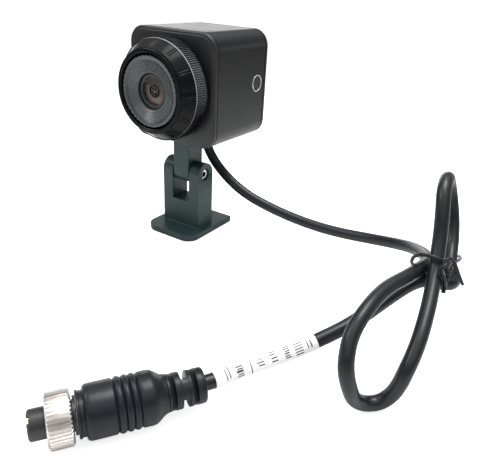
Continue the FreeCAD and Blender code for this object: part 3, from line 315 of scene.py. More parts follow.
def label_mat():
    """White wrapped label with a few plain bars, in the label's own length and turn."""
    m, nt, b = new_mat("m_label")
    uv = nt.nodes.new("ShaderNodeTexCoord")
    sp = nt.nodes.new("ShaderNodeSeparateXYZ")
    nt.links.new(uv.outputs["UV"], sp.inputs["Vector"])

    def math_node(op, a, c=None):
        n = nt.nodes.new("ShaderNodeMath")
        n.operation = op
        for i, x in enumerate((a, c)):
            if x is None:
                continue
            if isinstance(x, (int, float)):
                n.inputs[i].default_value = x
            else:
                nt.links.new(x, n.inputs[i])
        return n.outputs[0]

    u, w = sp.outputs["X"], sp.outputs["Y"]

    def between(x, lo, hi):
        return math_node("MULTIPLY", math_node("GREATER_THAN", x, lo), math_node("LESS_THAN", x, hi))

    mask = None
    for u0, u1, w0, w1 in LABEL_BARS:
        w0, w1 = w0 - 0.006, w1 + 0.006
        r = math_node("MULTIPLY", between(u, u0, u1), between(w, w0, w1))
        mask = r if mask is None else math_node("MAXIMUM", mask, r)
    v = coords(nt)
    g = noise(nt, v, 1400.0, 4.0)
    mask2 = math_node("MULTIPLY", mask, span(nt, g, 0.90, 1.0, 0.35, 0.6))
    paper = ramp(nt, noise(nt, v, 160.0), [(0.3, (0.92, 0.92, 0.91)), (0.7, (0.97, 0.97, 0.96))])
    mx = nt.nodes.new("ShaderNodeMix")
    mx.data_type = "RGBA"
    nt.links.new(mask2, mx.inputs[0])
    nt.links.new(paper, mx.inputs[6])
    mx.inputs[7].default_value = (0.03, 0.03, 0.035, 1)
    nt.links.new(mx.outputs[2], b.inputs["Base Color"])
    nt.links.new(span(nt, g, 0.30, 0.45), b.inputs["Roughness"])
    bump(nt, b, g, 0.2, 0.00002)
    return m


# plain bars on the label: from, to along its length; from, to round its turn
LABEL_BARS = [
    (0.145, 0.225, 0.378, 0.394), (0.145, 0.225, 0.438, 0.448), (0.145, 0.225, 0.492, 0.502), (0.145, 0.225, 0.546, 0.556), (0.145, 0.225, 0.604, 0.616),
    (0.27, 0.33, 0.40, 0.414), (0.28, 0.33, 0.49, 0.506), (0.27, 0.33, 0.585, 0.598),
    (0.40, 0.46, 0.43, 0.444), (0.41, 0.47, 0.565, 0.582), (0.53, 0.60, 0.50, 0.512), (0.54, 0.59, 0.56, 0.57),
    (0.652, 0.662, 0.34, 0.60), (0.735, 0.80, 0.37, 0.385), (0.735, 0.80, 0.46, 0.492), (0.735, 0.80, 0.56, 0.584),
    (0.862, 0.872, 0.42, 0.66), (0.895, 0.905, 0.40, 0.62),
    (0.055, 0.068, 0.42, 0.58), (0.090, 0.100, 0.44, 0.60), (0.28, 0.33, 0.445, 0.455), (0.27, 0.32, 0.535, 0.548), (0.40, 0.46, 0.495, 0.508),
    (0.41, 0.46, 0.63, 0.642), (0.53, 0.59, 0.445, 0.455), (0.735, 0.79, 0.415, 0.427), (0.735, 0.79, 0.515, 0.53), (0.27, 0.33, 0.635, 0.648),
]
M["label"] = label_mat()


# ------------------------------------------------------------------ mesh building
def finish_mesh(name, bm, mat, angle=32.0, body="head"):
    bmesh.ops.remove_doubles(bm, verts=bm.verts, dist=1e-7)
    bmesh.ops.recalc_face_normals(bm, faces=bm.faces)
    me = bpy.data.meshes.new(name)
    bm.to_mesh(me)
    bm.free()
    me.polygons.foreach_set("use_smooth", [True] * len(me.polygons))
    me.set_sharp_from_angle(angle=math.radians(angle))
    me.materials.append(mat)
    ob = bpy.data.objects.new(name, me)
    bpy.context.scene.collection.objects.link(ob)
    if body:
        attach(ob, body)
    return ob


LENS_Z = 75.2


def at_lens(a, r, t):
    return Vector((r * math.cos(t), a, LENS_Z + r * math.sin(t))) * MM


PLUG_TIP = Vector((58.13, -141.22, 8.3))
PLUG_DIR = Vector((0.57338502, 0.81928604, 0.0))
PLUG_SIDE = Vector((0.81928604, -0.57338502, 0.0))


def at_plug(a, r, t):
    return (PLUG_TIP + PLUG_DIR * a + PLUG_SIDE * (r * math.cos(t)) + Vector((0, 0, r * math.sin(t)))) * MM


def turned(name, rows, mat, place, K=160, closed=True, shape=None, angle=32.0, body="head", phase=0.0):
    """Rings of K points through rows of (along, radius), joined into a skin.  shape(i, turn, along, radius)
    gives each point its own place along and out."""
    bm = bmesh.new()
    rings = []
    for i, row in enumerate(rows):
        a, r = row[0], row[1]
        if r <= 1e-9:
            rings.append([bm.verts.new(place(a, 0.0, 0.0))])
            continue
        ring = []
        for k in range(K):
            t = 2 * math.pi * k / K + phase
            aa, rr = (a, r) if shape is None else shape(i, t, a, r)
            ring.append(bm.verts.new(place(aa, rr, t)))
        rings.append(ring)
    pairs = list(zip(rings, rings[1:]))
    if closed:
        pairs.append((rings[-1], rings[0]))
    for p, q in pairs:
        if len(p) == 1 and len(q) == 1:
            continue
        for k in range(K):
            n = (k + 1) % K
            if len(p) == 1:
                bm.faces.new((p[0], q[k], q[n]))
            elif len(q) == 1:
                bm.faces.new((p[k], q[0], p[n]))
            else:
                bm.faces.new((p[k], q[k], q[n], p[n]))
    return finish_mesh(name, bm, mat, angle, body)


def outline(w, h, r, n=14, side=8):
    """Points of a rounded rectangle, as (x, z) about its middle."""
    a, b = w / 2.0, h / 2.0
    pts = []
    corners = [(a - r, b - r, 0), (-a + r, b - r, 90), (-a + r, -b + r, 180), (a - r, -b + r, 270)]
    for i, (cx, cz, a0) in enumerate(corners):
        for k in range(n + 1):
            t = math.radians(a0 + 90.0 * k / n)
            pts.append((cx + r * math.cos(t), cz + r * math.sin(t)))
        nx = corners[(i + 1) % 4]
        t1 = math.radians(nx[2])
        e = (nx[0] + r * math.cos(t1), nx[1] + r * math.sin(t1))
        s = pts[-1]
        for k in range(1, side):
            f = k / float(side)
            pts.append((s[0] + (e[0] - s[0]) * f, s[1] + (e[1] - s[1]) * f))
    return pts


CASE_W, CASE_H, CASE_R = 50.0, 51.4, 7.9


def case_ring(inset, y):
    r = max(CASE_R - inset, 0.3)
    return [Vector((x, y, LENS_Z + z)) * MM for x, z in outline(CASE_W - 2 * inset, CASE_H - 2 * inset, r)]


def circle_like(radius, y):
    ref = outline(CASE_W, CASE_H, CASE_R)
    out = []
    for x, z in ref:
        t = math.atan2(z, x)
        out.append(Vector((radius * math.cos(t), y, LENS_Z + radius * math.sin(t))) * MM)
    return out


def skin(name, rings, mat, closed=True, angle=32.0, body="head", cap=False):
    bm = bmesh.new()
    vs = [[bm.verts.new(p) for p in r] for r in rings]
    n = len(vs[0])
    pairs = list(zip(vs, vs[1:]))
    if closed:
        pairs.append((vs[-1], vs[0]))
    for p, q in pairs:
        for k in range(n):
            j = (k + 1) % n
            bm.faces.new((p[k], q[k], q[j], p[j]))
    if cap:
        bm.faces.new(vs[0])
        bm.faces.new(list(reversed(vs[-1])))
    return finish_mesh(name, bm, mat, angle, body)


# ------------------------------------------------------------------ CAD nodes: materials
NODE_MATS = {
    "bracket": "bracket_metal", "adhesive_pad": "foam", "hinge_screw": "steel", "hinge_nut": "steel", "hinge_washers": "nylon",
    "tilt_arm": "bracket_metal", "arm_screws": "steel", "case_sleeve": "case", "front_panel": "panel", "front_gasket": "rubber",
    "rear_gasket": "rubber", "rear_cover": "cover", "case_screws": "black_screw", "side_rings": "bright_edge", "side_plugs": "panel",
    "cable_grommet": "rubber", "cable_clamp": "lens_black", "lens_mount": "lens_black", "mount_screws": "black_screw",
    "lens_ring": "ring", "lens_barrel": "dish", "lens_retainer": "lens_black", "front_glass": "glass", "aperture_stop": "lens_black",
    "middle_glass": "glass", "lens_spacer": "lens_black", "rear_glass": "glass", "rear_spacer": "lens_black",
    "rear_retainer": "lens_black", "ir_filter": "filter", "image_sensor": "sensor", "sensor_board": "board", "main_board": "board",
    "board_spacers": "brass", "board_screws": "steel", "board_link": "header", "board_parts": "component", "cable_header": "header",
    "cable_plug": "header", "cable": "cord", "cable_tail": "cord", "cable_label": "label", "twist_tie": "tie", "plug_insert": "insert",
    "plug_pins": "gold", "coupling_nut": "nickel", "nut_clip": "steel", "nut_collar": "overmould", "plug_body": "overmould",
    "strain_relief": "overmould",
}
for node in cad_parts:
    ob = bpy.data.objects[node]
    ob.data.materials.clear()
    ob.data.materials.append(M[NODE_MATS[node]])


# ------------------------------------------------------------------ case
def rounding(y_edge, y_face, inset0, radius, n=6):
    """Rings that turn from the case's side to its face."""
    sgn = 1.0 if y_face < y_edge else -1.0
    out = []
    for k in range(n + 1):
        t = math.pi / 2 * k / n
        out.append(case_ring(inset0 + radius * (1 - math.cos(t)), y_face + sgn * radius * (1 - math.sin(t))))
    return out


rings = [case_ring(2.2, 29.0), case_ring(0.25, 29.0), case_ring(0.0, 28.8)]
rings += [case_ring(0.0, y) for y in (20.0, 10.0, 0.0)]
rings += [case_ring(0.0, -9.3), case_ring(0.2, -9.5), case_ring(2.2, -9.5), case_ring(2.2, 10.0)]
sleeve = skin("sleeve_shell", rings, M["case"])
# side holes stay in the CAD sleeve; the shell is cut for them
def cut_round(ob, centre, radius, depth, axis):
    me = bpy.data.meshes.new("cutter")
    bm = bmesh.new()
    bmesh.ops.create_cone(bm, cap_ends=True, segments=64, radius1=radius * MM, radius2=radius * MM, depth=depth * MM)
    bm.to_mesh(me)
    bm.free()
    c = bpy.data.objects.new("cutter", me)
    bpy.context.scene.collection.objects.link(c)
    c.rotation_euler = {"X": (0, math.pi / 2, 0), "Z": (0, 0, 0), "Y": (math.pi / 2, 0, 0)}[axis]
    c.location = Vector(centre) * MM
    bpy.context.view_layer.update()
    mod = ob.modifiers.new("cut", "BOOLEAN")
    mod.operation = "DIFFERENCE"
    mod.solver = "EXACT"
    mod.object = c
    dg = bpy.context.evaluated_depsgraph_get()
    new = bpy.data.meshes.new_from_object(ob.evaluated_get(dg))
    ob.modifiers.remove(mod)
    old = ob.data
    ob.data = new
    bpy.data.meshes.remove(old)
    bpy.data.objects.remove(c)
    bpy.data.meshes.remove(me)


cut_round(sleeve, (0, 22.7, 76.6), 4.06, 80, "X")
cut_round(sleeve, (0, 13.4, 49.5), 4.3, 8, "Z")
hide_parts("case_sleeve")

# bright rings round the side holes
for sgn, nm in ((1, "right"), (-1, "left")):
    def at_side(a, r, t, sgn=sgn):
        return Vector((sgn * (25.0 + a), 22.7 + r * math.cos(t), 76.6 + r * math.sin(t))) * MM
    ring_edge = turned("side_ring_" + nm, [(-0.6, 4.03), (0.10, 4.03), (0.20, 3.97), (0.26, 3.86), (0.27, 3.74), (0.20, 3.62), (0.08, 3.56), (-0.6, 3.53)],
                       M["bright_edge"], at_side, K=96, angle=60, body="head")
    if sgn > 0:
        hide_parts("side_rings")

# hinge screw: bright crowned head with a deep socket, lined with black material as painted shade
def at_hinge(a, r, t):
    return Vector((10.6 + a, r * math.cos(t), 31.8 + r * math.sin(t))) * MM


def socket_shape(i, t, a, r):
    if SOCKET[0] <= i <= SOCKET[1]:
        q = (t + 0.4) % (math.pi / 3) - math.pi / 6
        return a, r / math.cos(q) * math.cos(0.0)
    return a, r


HEAD_ROWS = [(-2.6, 0.0), (-2.6, 2.72), (-0.42, 2.72), (-0.22, 2.66), (-0.08, 2.5), (-0.02, 2.2), (0.0, 1.75), (-0.03, 1.5), (-0.14, 1.28), (-1.9, 1.25), (-1.95, 0.0)]
SOCKET = (8, 9)
head_screw = turned("hinge_screw_head", HEAD_ROWS, M["screw_bright"], at_hinge, K=96, closed=False, shape=socket_shape, angle=35, body="base")
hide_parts("hinge_screw")
# black lining of the hex socket: painted shade
socket_painted_shade = turned("hinge_screw_socket", [(-0.22, 1.235), (-1.8, 1.235), (-1.85, 0.0)], M["lens_black"], at_hinge, K=96, closed=False, angle=35,
                     body="base", shape=lambda i, t, a, r: (a, r / math.cos((t + 0.4) % (math.pi / 3) - math.pi / 6)))
shank = turned("hinge_screw_shank", [(-21.7, 0.0), (-21.7, 1.3), (-21.5, 1.5), (-2.4, 1.5), (-2.4, 0.0)], M["steel"], at_hinge, K=48, closed=False, angle=35,
               body="base")

rings = [case_ring(3.0, -9.9), case_ring(0.15, -9.9), case_ring(0.0, -10.05), case_ring(0.0, -11.2)]
rings += rounding(-11.2, -12.25, 0.0, 1.05, 7)[1:]
rings += [case_ring(1.35, -12.25), case_ring(1.42, -12.3), case_ring(1.60, -12.48), case_ring(1.70, -12.5), case_ring(3.5, -12.5)]
rings += [circle_like(20.0, -12.5), circle_like(18.75, -12.5), circle_like(18.6, -12.4), circle_like(18.6, -9.9)]
panel = skin("panel_shell", rings, M["panel"])
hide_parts("front_panel")

# ------------------------------------------------------------------ lens hood and focus ring
TEETH = 140
GRIPS = [math.radians(a) for a in (87.0, 59.0, 31.0, 359.0, 331.0, 303.0, 275.0, 247.0, 219.0, 191.0, 163.0, 136.0, 114.0)]
ring_rows = [
    (-14.2, 18.57), (-14.2, 22.5), (-14.45, 23.0), (-17.6, 23.0), (-20.85, 23.0), (-21.12, 22.86), (-21.16, 22.7), (-20.98, 22.62),
    (-20.98, 22.55), (-21.08, 22.5), (-21.18, 22.42),
]
CONE = [(-21.3 - 0.23 * i, 22.3 - 0.1508 * i * 0.96) for i in range(0, 25)]
n_cone0 = len(ring_rows)
ring_rows += CONE
ring_rows += [(-26.95, 18.72), (-27.02, 18.62), (-27.05, 18.30), (-27.35, 18.28), (-27.42, 18.42), (-27.75, 18.36), (-27.93, 18.15),
              (-27.93, 17.35), (-27.75, 17.15), (-27.6, 17.05), (-27.58, 16.75), (-27.35, 16.5), (-26.0, 16.46), (-19.9, 16.46), (-19.9, 18.57)]


def ring_shape(i, t, a, r):
    if 1 <= i <= 6:
        x = (t * TEETH / (2 * math.pi)) % 1.0
        tooth = min(1.0, max(0.0, (abs(x - 0.5) * 2 - 0.30) / 0.34))
        amp = (0, 0.3, 0.72, 0.72, 0.72, 0.50, 0.0)[i] if i < 7 else 0.0
        return a, r - amp * tooth
    if n_cone0 + 3 <= i <= n_cone0 + 20:
        for g in GRIPS:
            dt = (t - g + math.pi) % (2 * math.pi) - math.pi
            for o in (-0.62, 0.62):
                w = abs(dt * r - o)
                if w < 0.26:
                    edge = min(1.0, (i - n_cone0 - 2) / 2.0, (n_cone0 + 21 - i) / 2.0)
                    return a, r - 0.22 * edge * (1 - (w / 0.26) ** 2)
    return a, r


hood = turned("focus_hood", ring_rows, M["ring"], at_lens, K=1120, shape=ring_shape, angle=38, body="focus_ring")
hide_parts("lens_ring")

# ------------------------------------------------------------------ lens dish, retainer, glass
dish_rows = [(-11.2, 7.4), (-11.2, 14.5), (-25.3, 14.5), (-25.3, 15.5), (-26.9, 15.62), (-27.2, 15.62), (-27.42, 15.4), (-27.45, 14.98), (-27.36, 14.75)]
n_scal = (3, 6)
dish_rows += [(-27.28, 14.68), (-27.18, 14.3), (-26.98, 13.95), (-26.52, 13.42)]
R0, R1, NR = 13.25, 8.45, 6
Y0, Y1 = -26.44, -25.5
for k in range(NR):
    r0 = R0 + (R1 - R0) * k / NR
    r1 = R0 + (R1 - R0) * (k + 1) / NR
    y0 = Y0 + (Y1 - Y0) * k / NR
    y1 = Y0 + (Y1 - Y0) * (k + 1) / NR
    dish_rows += [(y0 + 0.04, r0), (y0 - 0.20, r0 - 0.12), (y0 - 0.24, r0 - 0.24), (y1 + 0.06, r1 + 0.10)]
dish_rows += [(-25.5, 8.35), (-25.42, 8.05), (-25.36, 7.9), (-25.2, 7.78), (-24.6, 7.72), (-24.5, 7.62), (-21.0, 7.62), (-21.0, 6.4), (-12.9, 6.4), (-12.9, 7.4)]


def dish_shape(i, t, a, r):
    if n_scal[0] <= i <= n_scal[1]:
        return a, r - 0.26 * (0.5 + 0.5 * math.cos(44 * t)) * (1.0 + 0.5 * math.sin(5 * t))
    return a, r


dish = turned("lens_dish", dish_rows, M["dish"], at_lens, K=448, shape=dish_shape, angle=25, body="lens_cell")
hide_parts("lens_barrel")

retainer = turned("retainer_ring", [(-21.1, 7.58), (-24.6, 7.58), (-24.78, 7.5), (-24.82, 7.3), (-24.7, 6.85), (-24.68, 6.6), (-24.76, 6.45), (-24.66, 6.28),
                                    (-24.2, 6.2), (-23.9, 6.16), (-23.86, 6.08), (-21.1, 6.08)],
                  M["retainer"], at_lens, K=128, angle=30, body="lens_cell")
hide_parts("lens_retainer")
lip = turned("retainer_edge", [(-24.9, 7.50), (-25.32, 7.54), (-25.46, 7.68), (-25.47, 7.92), (-25.42, 8.06), (-25.2, 8.1), (-24.9, 8.0)],
             M["lens_black"], at_lens, K=128, closed=True, angle=40, body="lens_cell")


def dome_rows(r, y_edge, sag, n=14):
    R = (r * r + sag * sag) / (2 * abs(sag))
    out = []
    for k in range(n + 1):
        q = r * (1 - k / n)
        out.append((y_edge - math.copysign(1, sag) * (math.sqrt(max(R * R - q * q, 0)) - (R - abs(sag))), q))
    return out


front = dome_rows(6.05, -23.5, 0.62)
back = dome_rows(6.05, -23.3, 0.30)
fg = turned("front_element", front + list(reversed(back)), M["glass"], at_lens, K=96, closed=True, angle=60, body="lens_cell")
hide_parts("front_glass")
# coated inner element, the dark stop round the pupil and the small inner glass
inner = [(-23.16, 6.0), (-23.26, 5.2), (-23.36, 4.4), (-23.44, 3.6), (-23.47, 3.1), (-23.46, 3.02)]
iris = turned("coated_element", [(-22.9, 6.0)] + inner + [(-23.3, 3.0), (-22.9, 3.0)],
              M["coating"], at_lens, K=96, closed=True, angle=40, body="lens_cell")
throat = turned("iris_throat", [(-23.40, 2.98), (-23.54, 2.92), (-23.56, 2.75), (-23.50, 2.5), (-23.3, 2.42), (-22.9, 2.42), (-22.9, 2.98)],
                M["lens_black"], at_lens, K=96, angle=35, body="lens_cell")
pupil = turned("pupil_disc", [(-23.30, 2.41), (-23.24, 1.9), (-23.14, 1.2), (-22.95, 1.2), (-22.95, 2.41)], M["pupil"], at_lens, K=72, angle=40,
               body="lens_cell")


def at_inner(a, r, t):
    return Vector((-0.12 + r * math.cos(t), a, LENS_Z + 0.34 + r * math.sin(t))) * MM


small = turned("inner_element", [(-22.9, 1.25)] + dome_rows(1.25, -23.15, 0.42, 10), M["inner_glass"], at_inner, K=48, closed=False, angle=60,
               body="lens_cell")
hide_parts("aperture_stop")

# ------------------------------------------------------------------ cord
ROUTE = [
    (0.0, 13.4, 54.0), (0.0, 13.4, 46.0), (4.8, 15.4, 34.4), (16.4, 15.4, 25.4),
    (27.7, 15.8, 19.9), (41.0, 16.5, 16.5), (55.3, 17.0, 14.3), (69.8, 17.4, 13.4),
    (83.8, 17.3, 14.2), (97.0, 15.8, 16.5), (108.6, 11.8, 19.7), (118.1, 5.3, 23.5),
    (125.5, -4.1, 27.0), (129.7, -14.5, 29.6), (131.6, -27.3, 34.9), (129.2, -39.0, 34.9),
    (124.7, -52.2, 34.4), (123.3, -65.5, 32.0), (122.7, -73.2, 27.4), (124.1, -78.2, 21.9),
    (125.5, -79.3, 17.0), (126.9, -77.9, 11.5), (127.6, -74.9, 5.9), (130.2, -71.4, 2.58),
    (134.4, -68.1, 2.83), (137.3, -66.2, 6.7), (138.7, -65.7, 11.7), (139.3, -64.3, 15.9),
    (139.7, -60.6, 19.4), (139.5, -54.1, 24.1), (137.9, -42.6, 29.9), (135.5, -32.0, 36.4),
    (133.4, -24.9, 44.8), (131.6, -21.4, 52.8), (129.5, -16.9, 58.9), (128.5, -10.9, 61.5),
    (127.8, -4.4, 60.2), (128.4, 0.2, 55.3), (130.5, 1.3, 48.2), (133.1, -0.6, 40.7),
    (135.2, -5.6, 34.4), (137.0, -13.2, 30.5), (139.1, -18.3, 29.3), (141.3, -22.1, 28.9),
    (140.5, -26.4, 29.4), (136.9, -28.9, 29.9), (132.1, -28.5, 29.1), (128.2, -31.7, 27.2),
    (123.8, -38.5, 23.5), (118.4, -51.3, 19.3), (112.8, -60.5, 15.7), (102.6, -73.5, 10.6),
    (92.1, -89.5, 8.6), (88.29, -98.12, 8.3), (81.47, -107.88, 8.3),
]


def spline_points(points, resolution=12):
    """Points along a smooth NURBS line with these control points."""
    cu = bpy.data.curves.new("line", "CURVE")
    cu.dimensions = "3D"
    cu.resolution_u = resolution
    sp = cu.splines.new("NURBS")
    sp.points.add(len(points) - 1)
    for p, q in zip(sp.points, points):
        p.co = (q[0] * MM, q[1] * MM, q[2] * MM, 1.0)
    sp.order_u = 3
    sp.use_endpoint_u = True
    ob = bpy.data.objects.new("line", cu)
    bpy.context.scene.collection.objects.link(ob)
    bpy.context.view_layer.update()
    me = bpy.data.meshes.new_from_object(ob.evaluated_get(bpy.context.evaluated_depsgraph_get()))
    out = [v.co.copy() for v in me.vertices]
    bpy.data.objects.remove(ob)
    bpy.data.curves.remove(cu)
    bpy.data.meshes.remove(me)
    clean = [out[0]]
    for p in out[1:]:
        if (p - clean[-1]).length > 1e-6:
            clean.append(p)
    return clean


def lengths(path):
    s = [0.0]
    for a, b in zip(path, path[1:]):
        s.append(s[-1] + (b - a).length)
    return s


def tube(name, path, radius, mat, K=24, body="base", uv=False, ends=True, angle=50, up=Vector((0, 0, 1))):
    """A skin round path.  radius is a number, or a function of the length along it."""
    s = lengths(path)
    n = len(path)
    tang = []
    for i in range(n):
        a = path[max(i - 1, 0)]
        b = path[min(i + 1, n - 1)]
        tang.append((b - a).normalized())
    ref = up - tang[0] * up.dot(tang[0])
    if ref.length < 1e-3:
        ref = Vector((1, 0, 0)) - tang[0] * tang[0].x
    ref.normalize()
    bm = bmesh.new()
    rings = []
    for i in range(n):
        if i:
            ref = (ref - tang[i] * ref.dot(tang[i])).normalized()
        side = tang[i].cross(ref)
        r = radius(s[i]) if callable(radius) else radius
        rings.append([bm.verts.new(path[i] + (ref * math.cos(2 * math.pi * k / K) + side * math.sin(2 * math.pi * k / K)) * (r * MM)) for k in range(K)])
    lay = bm.loops.layers.uv.new("UVMap") if uv else None
    for i in range(n - 1):
        for k in range(K):
            j = (k + 1) % K
            f = bm.faces.new((rings[i][k], rings[i][j], rings[i + 1][j], rings[i + 1][k]))
            if lay:
                for lp, (uu, ww) in zip(f.loops, ((s[i], k), (s[i], k + 1), (s[i + 1], k + 1), (s[i + 1], k))):
                    lp[lay].uv = (uu / s[-1], ww / K)
    if ends:
        bm.faces.new(list(reversed(rings[0])))
        bm.faces.new(rings[-1])
    return finish_mesh(name, bm, mat, angle, body)


cord_path = spline_points(ROUTE)
cord_len = lengths(cord_path)[-1]
print("cord length %.1f mm" % (cord_len / MM))
cord = tube("lead", cord_path, 2.55, M["cord"], K=28, body=None)
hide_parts("cable")
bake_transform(cord)


def part_of(path, a, b):
    s = lengths(path)
    return [p for p, q in zip(path, s) if a <= q <= b]


def nearest_s(path, p):
    s = lengths(path)
    v = Vector(p) * MM
    return min(zip(path, s), key=lambda q: (q[0] - v).length)[1]


s0 = nearest_s(cord_path, (109.0, -65.0, 13.6))
s1 = nearest_s(cord_path, (89.2, -96.6, 8.3))
label_path = part_of(cord_path, s0, s1)
label = tube("lead_label", label_path, 2.73, M["label"], K=40, uv=True, body="base", up=Vector((-0.35, 0.67, -0.65)))
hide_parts("cable_label")

# ------------------------------------------------------------------ twist tie
TIE_LONG = [
    (140.1, -34.1, 29.5), (140.0, -33.4, 31.6), (139.9, -32.7, 33.9), (139.8, -31.4, 35.8),
    (139.8, -29.0, 37.2), (139.9, -24.0, 36.8), (140.4, -17.6, 35.0), (140.2, -11.7, 33.1),
    (138.9, -5.2, 30.9), (136.1, -1.7, 28.7), (133.5, -4.1, 27.2), (131.2, -7.9, 25.8),
    (129.4, -13.0, 25.3), (129.0, -19.1, 26.8), (128.0, -24.7, 30.3), (126.4, -29.0, 34.2),
    (127.1, -31.4, 37.8), (128.9, -32.6, 40.1), (131.1, -33.5, 41.1), (133.4, -33.9, 41.5),
    (135.5, -33.6, 41.3), (137.3, -33.1, 40.8), (138.2, -32.5, 41.1), (139.0, -31.3, 41.4),
    (140.0, -30.1, 40.5), (141.4, -29.3, 38.1), (143.0, -28.5, 34.6), (144.8, -27.3, 31.2),
]
TIE_SHORT = [
    (139.0, -34.9, 40.6), (138.3, -35.9, 40.3), (138.0, -36.5, 39.2), (138.5, -36.4, 37.5),
    (139.6, -35.7, 35.7), (140.1, -35.4, 34.2), (140.1, -35.5, 32.9),
]
tie_len = lengths(spline_points(TIE_LONG))[-1]


def tie_radius(q):
    """The wire is doubled on itself at its first end and thins to a cut tip at the other."""
    near = min(1.0, q / (8.5 * MM))
    return 0.66 + 0.16 * (1 - near) * (0.7 + 0.3 * math.cos(q / MM * 4.2)) - 0.12 * max(0.0, 1 - (tie_len - q) / (4.0 * MM))


tie = tube("tie_wire", spline_points(TIE_LONG), tie_radius, M["tie"], K=16, body="base")
tie_end = tube("tie_wire_end", spline_points(TIE_SHORT), 0.62, M["tie"], K=16, body="base")
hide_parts("twist_tie")

# ------------------------------------------------------------------ connector
FL = 42


def nut_shape(i, t, a, r):
    if 2 <= i <= 6:
        x = (t * FL / (2 * math.pi)) % 1.0
        tooth = min(1.0, max(0.0, (abs(x - 0.5) * 2 - 0.42) / 0.34))
        amp = (0, 0, 0.15, 0.5, 0.5, 0.5, 0.15)[i]
        return a, r - amp * tooth
    return a, r


nut = turned("nut_skin", [(4.9, 5.95), (4.9, 7.35), (5.05, 7.75), (5.45, 8.26), (8.4, 8.26), (11.35, 8.26), (11.7, 7.8), (11.9, 7.4), (11.9, 4.57),
                          (10.7, 4.57), (10.7, 5.95), (9.0, 5.95), (8.6, 6.1), (8.2, 5.95), (7.8, 6.1), (7.4, 5.95), (7.0, 6.1), (6.6, 5.95), (6.2, 6.1), (5.6, 5.95), (5.1, 6.15)],
             M["nickel"], at_plug, K=420, shape=nut_shape, angle=30, body="coupling_nut")
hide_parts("coupling_nut")

collar = turned("collar_skin", [(13.02, 4.0), (13.02, 6.75), (13.08, 6.88), (13.2, 6.92), (13.78, 6.92), (13.88, 6.85), (13.9, 6.7), (13.9, 4.0)], M["overmould"], at_plug,
                K=120, angle=40, body="base")
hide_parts("nut_collar")

R = 8.15
rows = [(13.92, 0.0), (13.92, 6.5), (14.0, 6.62), (14.7, 6.62), (15.0, 6.62), (15.05, 7.0), (15.2, 7.45), (15.6, 7.85), (16.1, 8.05), (17.0, 8.12), (20.0, R), (22.8, R), (23.35, R - 0.03)]
WAVES = [(23.95, 26.2), (26.2, 28.35), (28.35, 30.4)]
for w0, w1 in WAVES:
    for k in range(12):
        f = k / 12.0
        rows.append((w0 + (w1 - w0) * f, R - 0.52 + 0.68 * abs(math.sin(math.pi * f)) ** 0.62))
rows += [(30.4, R - 0.52), (30.6, R - 0.36), (30.85, R - 0.12), (31.2, R + 0.03), (32.0, 8.2), (33.4, 8.24), (34.3, 8.2), (35.0, 8.0), (35.7, 7.6), (36.5, 7.0), (37.3, 6.42), (38.0, 6.05), (38.5, 5.92),
         (38.8, 5.84), (38.88, 5.7), (38.9, 5.4), (38.9, 2.62), (38.7, 2.58), (38.6, 0.0)]
body_skin = turned("plug_skin", rows, M["overmould"], at_plug, K=144, closed=False, angle=30, body="base")
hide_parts("plug_body")

# the strain relief: a sleeve with flat-floored slots in opposite pairs, each pair a quarter turn from the next
SLOT_TURN = math.radians(50.0)
FLOOR_R = 2.97
SLOTS = [(39.8, 41.15, 90.0), (43.25, 45.4, 0.0), (46.5, 47.9, 90.0)]


def section(s, radius, turn=None, K=216):
    """A round section, cut flat on two opposite sides where a slot passes."""
    phi = SLOT_TURN + math.radians(turn or 0.0)
    ring = []
    for k in range(K):
        t = 2 * math.pi * k / K
        c, d = radius * math.cos(t - phi), radius * math.sin(t - phi)
        if turn is not None:
            c = max(-FLOOR_R, min(FLOOR_R, c))
        y, z = c * math.cos(phi) - d * math.sin(phi), c * math.sin(phi) + d * math.cos(phi)
        ring.append((PLUG_TIP + PLUG_DIR * s - PLUG_SIDE * y + Vector((0, 0, z))) * MM)
    return ring


def relief_r(s):
    return 5.7 - 0.15 * (s - 41.3) / 9.1


stations = [section(38.94, 2.62), section(38.94, 5.5), section(39.02, 5.7), section(39.15, relief_r(39.15))]
for s0, s1, turn in SLOTS:
    ra, rb = relief_r(s0), relief_r(s1)
    stations += [section(s0 - 0.18, ra), section(s0 - 0.06, ra - 0.05), section(s0, ra - 0.16), section(s0 + 0.02, ra - 0.16, turn)]
    stations += [section(s1 - 0.02, rb - 0.16, turn), section(s1, rb - 0.16), section(s1 + 0.06, rb - 0.05), section(s1 + 0.18, rb)]
stations += [section(50.3, relief_r(50.3)), section(50.58, 5.42), section(50.7, 5.22), section(50.7, 3.0), section(50.5, 2.75), section(50.1, 2.62)]
relief = skin("relief_skin", stations, M["overmould"], body="base", angle=30)
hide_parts("strain_relief")

# ------------------------------------------------------------------ floor and light
bm = bmesh.new()
bmesh.ops.create_grid(bm, x_segments=1, y_segments=1, size=25.0)
me = bpy.data.meshes.new("studio_floor")
bm.to_mesh(me)
bm.free()
floor = bpy.data.objects.new("studio_floor", me)
floor.location = (0.05, -0.05, -0.0002)
bpy.context.scene.collection.objects.link(floor)
mf = bpy.data.materials.new("m_floor")
mf.use_nodes = True
nt = mf.node_tree
for n in list(nt.nodes):
    nt.nodes.remove(n)
f_out = nt.nodes.new("ShaderNodeOutputMaterial")
f_tc = nt.nodes.new("ShaderNodeTexCoord")
f_len = nt.nodes.new("ShaderNodeVectorMath")
f_len.operation = "LENGTH"
nt.links.new(f_tc.outputs["Object"], f_len.inputs[0])
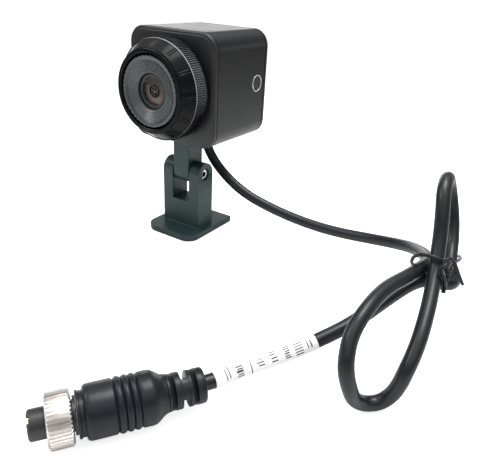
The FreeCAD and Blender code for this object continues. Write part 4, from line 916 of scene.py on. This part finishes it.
# a pale sheet under the object whose colour darkens with distance as a painted pool of light, falling off into the
# dark studio round it; it also glows for the camera only, a painted glow that makes it look evenly white
f_far = span(nt, f_len.outputs["Value"], 0.0, 1.0, 0.18, 0.95)
floor_painted_light_pool = ramp(nt, f_far, [(0.0, (0.86, 0.86, 0.86)), (0.12, (0.72, 0.72, 0.72)), (0.35, (0.34, 0.34, 0.34)), (0.7, (0.10, 0.10, 0.10)), (1.0, (0.05, 0.05, 0.05))])
f_diff = nt.nodes.new("ShaderNodeBsdfDiffuse")
nt.links.new(floor_painted_light_pool, f_diff.inputs["Color"])
# painted glow: the floor emits light for camera rays only
f_em = nt.nodes.new("ShaderNodeEmission")
f_em.inputs["Color"].default_value = (1.0, 1.0, 1.0, 1.0)
f_lp = nt.nodes.new("ShaderNodeLightPath")
floor_painted_camera_glow = nt.nodes.new("ShaderNodeMath")
floor_painted_camera_glow.operation = "MULTIPLY"
nt.links.new(f_lp.outputs["Is Camera Ray"], floor_painted_camera_glow.inputs[0])
nt.links.new(span(nt, f_far, 0.74, 1.05, 0.0, 0.5), floor_painted_camera_glow.inputs[1])
nt.links.new(floor_painted_camera_glow.outputs[0], f_em.inputs["Strength"])
f_add = nt.nodes.new("ShaderNodeAddShader")
nt.links.new(f_diff.outputs[0], f_add.inputs[0])
nt.links.new(f_em.outputs[0], f_add.inputs[1])
nt.links.new(f_add.outputs[0], f_out.inputs["Surface"])
me.materials.append(mf)

world = bpy.data.worlds.new("studio")
bpy.context.scene.world = world
world.use_nodes = True
wt = world.node_tree
bg = wt.nodes["Background"]
w_tc = wt.nodes.new("ShaderNodeTexCoord")
w_sp = wt.nodes.new("ShaderNodeSeparateXYZ")
wt.links.new(w_tc.outputs["Generated"], w_sp.inputs["Vector"])
w_col = ramp(wt, w_sp.outputs["Z"], [(0.0, (0.62, 0.62, 0.62)), (0.10, (0.55, 0.55, 0.55)), (0.22, (0.16, 0.16, 0.165)), (0.45, (0.15, 0.15, 0.155)), (0.72, (0.60, 0.60, 0.60)), (1.0, (1.0, 1.0, 1.0))])
wt.links.new(w_col, bg.inputs["Color"])
bg.inputs["Strength"].default_value = 1.6


def area(name, at, look, size, size_y, power, color=(1, 1, 1)):
    li = bpy.data.lights.new(name, "AREA")
    li.shape = "RECTANGLE"
    li.size = size
    li.size_y = size_y
    li.energy = power
    li.color = color
    ob = bpy.data.objects.new(name, li)
    bpy.context.scene.collection.objects.link(ob)
    ob.location = at
    ob.rotation_euler = (Vector(look) - Vector(at)).to_track_quat("-Z", "Y").to_euler()
    return ob


area("overhead", (0.10, 0.15, 1.10), (0.05, -0.04, 0.03), 0.55, 0.55, 8.0)
area("left_top", (-0.45, -0.30, 0.62), (0.05, -0.05, 0.03), 0.32, 0.32, 1.3)
area("horizon", (-0.95, 1.50, 0.25), (0.0, 0.0, 0.10), 1.5, 0.24, 4.0)
